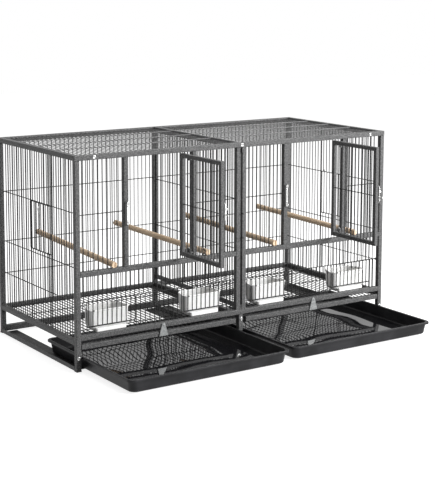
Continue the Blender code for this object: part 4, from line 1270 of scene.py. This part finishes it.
class BIRDCAGE_OT_divider(PieceOperator):
    """Sliding wire divider with its hooks and stop"""

    bl_idname = "birdcage.divider"
    bl_label = "Divider"

    cross_levels = (0.241, 0.370)
    hook_levels = (0.274, 0.336)
    hook_root = 0.02
    upright_shift = 0.0006
    ring_wire = 0.0024
    ring_bend = 0.004
    edge = 0.0006
    stop_height = 0.012
    stop_front = 0.004
    stop_back = 0.003
    foot_height = 0.0125

    def make(self):
        """Makes the divider's wires, the band along its foot, its two front hooks and the black stop."""
        start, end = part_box("divider")
        y = (FRONT + CLEARANCE, end.y)
        upright = (start.x + end.x) / 2 - self.upright_shift
        cross = upright + sizes().wire_diameter - sizes().weld_bite
        mesh = bmesh.new()
        wire_ring(mesh, "side", y, (start.z, end.z), upright, self.ring_bend, self.ring_wire)
        uprights(mesh, "side", spaced(*y), (start.z + WIRE / 2, end.z - WIRE / 2), upright, welded=False)
        crosses(mesh, "side", self.cross_levels, (y[0] + WIRE / 2, y[1] - WIRE / 2), cross)
        for level in self.hook_levels:
            rod(mesh, (CENTRE, y[0] + self.hook_root, level), (CENTRE, start.y, level), welded=False)
        piece("divider_wires", mesh, "wire", body="divider", stands_for=["divider"])
        x = (start.x + CLEARANCE, end.x - CLEARANCE)
        foot = bmesh.new()
        block(foot, (x[0], y[0], start.z), (x[1], y[1], start.z + self.foot_height), self.edge)
        piece("divider_foot", foot, "coat", body="divider")
        stop = bmesh.new()
        block(stop, (x[0], FRONT - self.stop_front, end.z - self.stop_height),
              (x[1], FRONT + self.stop_back, end.z), self.edge)
        piece("divider_stop", stop, "plug", body="divider")


class BIRDCAGE_OT_perches(PieceOperator):
    """Round wooden perches with notched ends"""

    bl_idname = "birdcage.perches"
    bl_label = "Perches"

    chamfer = 0.0008
    front_notch = (-0.003, 0.0135)
    back_notch = (-0.0155, 0.001)
    notch_below = 0.002
    notch_above = 0.02
    leaning_right = ("perch_left_outer",)

    def make(self):
        """Makes the four perches and cuts each end to fit over the wires."""
        for side in SIDES:
            for place in PLACES:
                self.perch("perch_%s_%s" % (side, place), side)

    def perch(self, node, side):
        """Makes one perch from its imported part's box."""
        start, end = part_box(node)
        radius = PERCH_RADIUS
        ends = [end.x - radius, start.x + radius]
        if node in self.leaning_right:
            ends.reverse()
        front = Vector((ends[0], start.y, start.z + radius))
        back = Vector((ends[1], end.y, end.z - radius))
        length = (back - front).length
        shoulder = radius - self.chamfer
        profile = [(0.0, 0.0), (shoulder, 0.0), (radius, self.chamfer), (radius, length - self.chamfer),
                   (shoulder, length), (0.0, length)]
        mesh = bmesh.new()
        turned(mesh, profile, facing(front, back - front), sides=28)
        item = piece(node + "_dowel", mesh, "wood", stands_for=[node], sharp=40)
        cutter = bmesh.new()
        gap = WIRE / 2 + CLEARANCE
        front_wires = spaced(*strip_width(side, "latch")[1]) + spaced(*strip_width(side, "hinge")[1])
        back_wires = spaced(low("back_panel_" + side, X), high("back_panel_" + side, X))
        front_y = [FRONT + reach for reach in self.front_notch]
        back_y = [BACK + reach for reach in self.back_notch]
        front_z = (start.z - self.notch_below, start.z + self.notch_above)
        back_z = (end.z - self.notch_above, end.z + self.notch_below)
        for wires, middle, y, z in (
                (front_wires, front.x, front_y, front_z), (back_wires, back.x, back_y, back_z)):
            for centre in (wire for wire in wires if abs(wire - middle) < radius + gap):
                block(cutter, (centre - gap, y[0], z[0]), (centre + gap, y[1], z[1]), edge=0.0001, steps=1)
        notch(item, cutter)


def notch(item, cutter):
    """Cuts a shape out of a piece for good."""
    if not cutter.verts:
        cutter.free()
        return
    bmesh.ops.recalc_face_normals(cutter, faces=cutter.faces)
    data = bpy.data.meshes.new("notches")
    cutter.to_mesh(data)
    cutter.free()
    tool = bpy.data.objects.new("notches", data)
    bpy.context.scene.collection.objects.link(tool)
    cut = item.modifiers.new("Notches", "BOOLEAN")
    cut.operation = "DIFFERENCE"
    cut.solver = "EXACT"
    cut.object = tool
    item.modifiers.move(len(item.modifiers) - 1, 0)
    bpy.context.view_layer.update()
    shaped = bpy.data.meshes.new_from_object(item.evaluated_get(bpy.context.evaluated_depsgraph_get()))
    item.modifiers.clear()
    item.data = shaped
    bpy.data.objects.remove(tool)


class BIRDCAGE_OT_grates(PieceOperator):
    """Sliding wire grates with a tube across the front"""

    bl_idname = "birdcage.grates"
    bl_label = "Grates"

    edge_bend = 0.006

    def make(self):
        """Makes each grate's tube, its edge wire, which is open to the front, and its wires."""
        for side in SIDES:
            node = "grate_" + side
            start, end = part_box(node)
            tube = bmesh.new()
            bar(tube, (start.x, FRONT, start.z), (end.x, FRONT + TUBE, start.z + TUBE))
            piece(node + "_tube", tube, "coat", body=node, stands_for=[node])
            x = (start.x + WIRE, end.x - WIRE)
            y = (FRONT + WIRE, end.y)
            upper = end.z - WIRE / 2
            lower = upper - sizes().wire_diameter + sizes().weld_bite
            wires = bmesh.new()
            half = sizes().wire_diameter / 2
            outer = (x[0] + half, x[1] - half)
            back = y[1] - half
            edge_wire = [(outer[0], y[0], lower), (outer[0], back, lower), (outer[1], back, lower),
                         (outer[1], y[0], lower)]
            bent_wire(wires, edge_wire, self.edge_bend)
            uprights(wires, "flat", spaced(*x), (y[0] + WIRE / 2, y[1] - WIRE / 2), upper, welded=False)
            levels = [FRONT + (BACK - FRONT) * step / (GRATE_CROSS_COUNT + 1)
                      for step in range(1, GRATE_CROSS_COUNT + 1)]
            crosses(wires, "flat", levels, (x[0] + WIRE / 2, x[1] - WIRE / 2), lower)
            piece(node + "_wires", wires, "wire", body=node)


class BIRDCAGE_OT_catches(PieceOperator):
    """Grey catches on the grates, each with its rivet"""

    bl_idname = "birdcage.catches"
    bl_label = "Grate catches"

    tip_radius = 0.0048
    tip_turns = range(20, 161, 14)
    face_inset = 0.0004
    rivet_drop = 0.0055

    def make(self):
        """Makes both catches."""
        for side in SIDES:
            node = "grate_catch_" + side
            start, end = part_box(node)
            middle = (start.x + end.x) / 2
            face = start.y + self.face_inset
            outline = [(start.x, start.z), (end.x, start.z)]
            for turn in map(math.radians, self.tip_turns):
                outline.append((middle + self.tip_radius * math.cos(turn),
                                end.z - self.tip_radius + self.tip_radius * math.sin(turn)))
            mesh = bmesh.new()
            plate(mesh, "front", outline, (face, end.y), edge=0.0005)
            piece(node + "_plate", mesh, "catch", body=node, stands_for=[node])
            rivet = bmesh.new()
            dome(rivet, (middle, face, end.z - self.rivet_drop), 0.0024, 0.0012)
            piece(node + "_rivet", rivet, "catch", body=node)


class BIRDCAGE_OT_trays(PieceOperator):
    """Black plastic trays with drafted walls and a turned-down flange"""

    bl_idname = "birdcage.trays"
    bl_label = "Trays"

    flange = 0.005
    draft = 0.004
    wall = 0.002

    def make(self):
        """Makes both trays."""
        for side in SIDES:
            node = "tray_" + side
            start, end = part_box(node)
            x = (start.x + self.flange, end.x - self.flange)
            y = (start.y + self.flange, end.y - self.flange)
            levels = [(outset, outset, height) for outset, height in self.profile(start.z, end.z)]
            mesh = bmesh.new()
            vessel(mesh, x, y, sizes().tray_corner, levels, steps=10)
            item = piece(node + "_shell", mesh, "tray", body=node, stands_for=[node], sharp=45)
            second_finish(item, "tray_wall", lambda face: not is_floor(face, start.z + 0.004))

    def profile(self, base, rim):
        """Returns a tray's outsets and heights: up the outside, over the flange and down the inside."""
        wall = self.wall
        draft = self.draft
        flange = self.flange
        return [(-draft - 2.4 * wall, base), (-draft - 1.2 * wall, base + 0.0006),
                (-draft - 0.4 * wall, base + 0.0019), (-draft, base + 0.0038), (-0.0006, rim - 0.0046),
                (0.0002, rim - 0.0040), (flange - wall, rim - 0.0040), (flange - wall, rim - 0.0052),
                (flange, rim - 0.0052), (flange, rim - 0.0012), (flange - 0.0005, rim - 0.0004),
                (flange - 0.0014, rim), (0.0006, rim), (-wall * 0.7, rim - 0.0007), (-wall, rim - 0.0022),
                (-draft - wall, base + 0.0062), (-draft - 1.5 * wall, base + 0.0040),
                (-draft - 2.6 * wall, base + 0.0025), (-draft - 4.2 * wall, base + wall)]


class BIRDCAGE_OT_ring_screws(PieceOperator):
    """Bright screws with a washer face, in the top rail and the legs"""

    bl_idname = "birdcage.ring_screws"
    bl_label = "Ring screws"

    top_places = (0.052, 0.474, 0.895)
    top_level = 0.511
    leg_inset = 0.006
    leg_level = 0.033
    centre_place = 0.474
    centre_level = 0.062
    radius = 0.0042
    height = 0.0012

    def make(self):
        """Makes the screws in the front top rail and in the front legs."""
        places = [(LEFT + along, self.top_level) for along in self.top_places]
        places += [(LEFT + self.leg_inset, self.leg_level), (LEFT + self.centre_place, self.centre_level),
                   (RIGHT - self.leg_inset, self.leg_level)]
        rings = bmesh.new()
        # The sockets are black hexes of painted shade standing in for the recess in each screw's head.
        sockets = bmesh.new()
        r = self.radius
        h = self.height
        ring = [(0.0, -0.0004), (r, -0.0004), (r, h * 0.4), (r * 0.88, h * 0.85), (r * 0.72, h),
                (r * 0.56, h * 0.8), (r * 0.50, h * 0.1), (0.0, h * 0.1)]
        socket = [(0.0, 0.0), (r * 0.44, 0.0), (r * 0.44, h * 0.4), (r * 0.3, h * 0.5), (0.0, h * 0.5)]
        for x, z in places:
            stand = facing((x, FRONT, z), (0, -1, 0))
            turned(rings, ring, stand)
            turned(sockets, socket, stand, sides=6)
        piece("front_screws", rings, "zinc", sharp=40)
        piece("front_screw_socket_painted_shade", sockets, "plug", sharp=40)


class BIRDCAGE_OT_stage(PieceOperator):
    """Studio floor, soft lights and the camera"""

    bl_idname = "birdcage.stage"
    bl_label = "Stage"

    focal_pixels = 1301.2
    image_height = 500.0
    centre_row = 147.1
    sensor = 36.0
    azimuth = 33.97
    pitch = 7.3
    roll = 0.16
    camera_place = (-1.3921, -2.6580, 0.9209)
    floor_glow = 0.82
    fill_light = 0.22

    def make(self):
        """Makes the floor, the lights and the camera."""
        self.floor()
        self.world()
        self.lamp("key_light", (2.3, -2.8, 1.7), 1.8, 260.0)
        self.lamp("top_light", (0.3, 0.3, 3.0), 2.4, 45.0)
        self.camera()
        bpy.context.scene.view_settings.view_transform = "Standard"

    def floor(self):
        """Makes the pale floor, which the camera sees as white round the cage's shadow."""
        mesh = bmesh.new()
        bmesh.ops.create_grid(mesh, x_segments=1, y_segments=1, size=sizes().floor_size / 2)
        data = bpy.data.meshes.new("floor")
        mesh.to_mesh(data)
        mesh.free()
        ground = bpy.data.objects.new("floor", data)
        bpy.context.scene.collection.objects.link(ground)
        look = Finish("studio_floor")
        look.set(base_color=(0.5, 0.5, 0.5, 1.0), roughness=0.9)
        look.shader.inputs["Emission Color"].default_value = (1.0, 1.0, 1.0, 1.0)
        rays = look.add("ShaderNodeLightPath")
        seen = look.joined("MAXIMUM", rays.outputs["Is Camera Ray"], rays.outputs["Is Glossy Ray"])
        glow = look.joined("MULTIPLY", seen, self.floor_glow)
        look.tree.links.new(glow, look.shader.inputs["Emission Strength"])
        data.materials.append(look.material)

    def world(self):
        """Lights the cage from all round, and shows white to the camera and to reflections."""
        world = bpy.data.worlds.new("studio")
        bpy.context.scene.world = world
        world.use_nodes = True
        tree = world.node_tree
        background = tree.nodes["Background"]
        background.inputs["Color"].default_value = (1.0, 1.0, 1.0, 1.0)
        rays = tree.nodes.new("ShaderNodeLightPath")
        seen = tree.nodes.new("ShaderNodeMath")
        seen.operation = "MAXIMUM"
        tree.links.new(rays.outputs["Is Camera Ray"], seen.inputs[0])
        tree.links.new(rays.outputs["Is Glossy Ray"], seen.inputs[1])
        level = tree.nodes.new("ShaderNodeMapRange")
        level.inputs["To Min"].default_value = self.fill_light
        level.inputs["To Max"].default_value = 1.0
        tree.links.new(seen.outputs["Value"], level.inputs["Value"])
        tree.links.new(level.outputs["Result"], background.inputs["Strength"])

    def lamp(self, name, place, size, power):
        """Makes a square soft light aimed at the cage."""
        light = bpy.data.lights.new(name, "AREA")
        light.energy = power
        light.size = size
        item = bpy.data.objects.new(name, light)
        item.location = place
        item.rotation_euler = (Vector((0.0, 0.0, 0.25)) - Vector(place)).to_track_quat("-Z", "Y").to_euler()
        bpy.context.scene.collection.objects.link(item)

    def camera(self):
        """Places the camera where the photograph was taken from."""
        data = bpy.data.cameras.new("camera")
        data.sensor_width = self.sensor
        data.lens = self.focal_pixels / self.image_height * self.sensor
        data.shift_y = self.centre_row / self.image_height - 0.5
        data.clip_end = 100.0
        item = bpy.data.objects.new("camera", data)
        item.location = Vector((LEFT, FRONT, 0.0)) + Vector(self.camera_place)
        turn = math.radians(self.azimuth)
        drop = math.radians(self.pitch)
        aim = Vector((math.sin(turn) * math.cos(drop), math.cos(turn) * math.cos(drop), -math.sin(drop)))
        level = aim.to_track_quat("-Z", "Y").to_matrix()
        item.rotation_euler = (level @ Matrix.Rotation(math.radians(self.roll), 3, "Z")).to_euler()
        bpy.context.scene.collection.objects.link(item)
        bpy.context.scene.camera = item


OPERATORS = (
    BIRDCAGE_OT_stage, BIRDCAGE_OT_posts, BIRDCAGE_OT_rails, BIRDCAGE_OT_top, BIRDCAGE_OT_back_panels,
    BIRDCAGE_OT_end_panels, BIRDCAGE_OT_front_strips, BIRDCAGE_OT_hinge_brackets, BIRDCAGE_OT_mid_rails,
    BIRDCAGE_OT_feeder_grilles, BIRDCAGE_OT_feeder_doors, BIRDCAGE_OT_cups, BIRDCAGE_OT_doors,
    BIRDCAGE_OT_latches, BIRDCAGE_OT_nest_doors, BIRDCAGE_OT_divider, BIRDCAGE_OT_perches,
    BIRDCAGE_OT_grates, BIRDCAGE_OT_catches, BIRDCAGE_OT_trays, BIRDCAGE_OT_ring_screws,
)


class BIRDCAGE_PT_panel(bpy.types.Panel):
    """Lists the cage's sizes, colours and pieces in the sidebar"""

    bl_idname = "BIRDCAGE_PT_panel"
    bl_label = "Double Bird Cage"
    bl_space_type = "VIEW_3D"
    bl_region_type = "UI"
    bl_category = "Bird Cage"

    def draw(self, context):
        """Draws the sizes, the colours and a button for each operator."""
        for group in (context.scene.bird_cage_sizes, context.scene.bird_cage_colours):
            box = self.layout.box()
            for key in group.__annotations__:
                box.prop(group, key)
        for operator in OPERATORS:
            self.layout.operator(operator.bl_idname)


CLASSES = (BirdCageSizes, BirdCageColours, *OPERATORS, BIRDCAGE_PT_panel)


def register():
    """Registers the classes and puts the settings on the scene."""
    for item in CLASSES:
        bpy.utils.register_class(item)
    bpy.types.Scene.bird_cage_sizes = PointerProperty(type=BirdCageSizes)
    bpy.types.Scene.bird_cage_colours = PointerProperty(type=BirdCageColours)


def unregister():
    """Takes the settings off the scene and unregisters the classes."""
    del bpy.types.Scene.bird_cage_colours
    del bpy.types.Scene.bird_cage_sizes
    for item in reversed(CLASSES):
        bpy.utils.unregister_class(item)


def main():
    """Makes every group of pieces in order."""
    register()
    for operator in OPERATORS:
        getattr(bpy.ops.birdcage, operator.bl_idname.split(".")[1])()


if __name__ == "__main__":
    main()
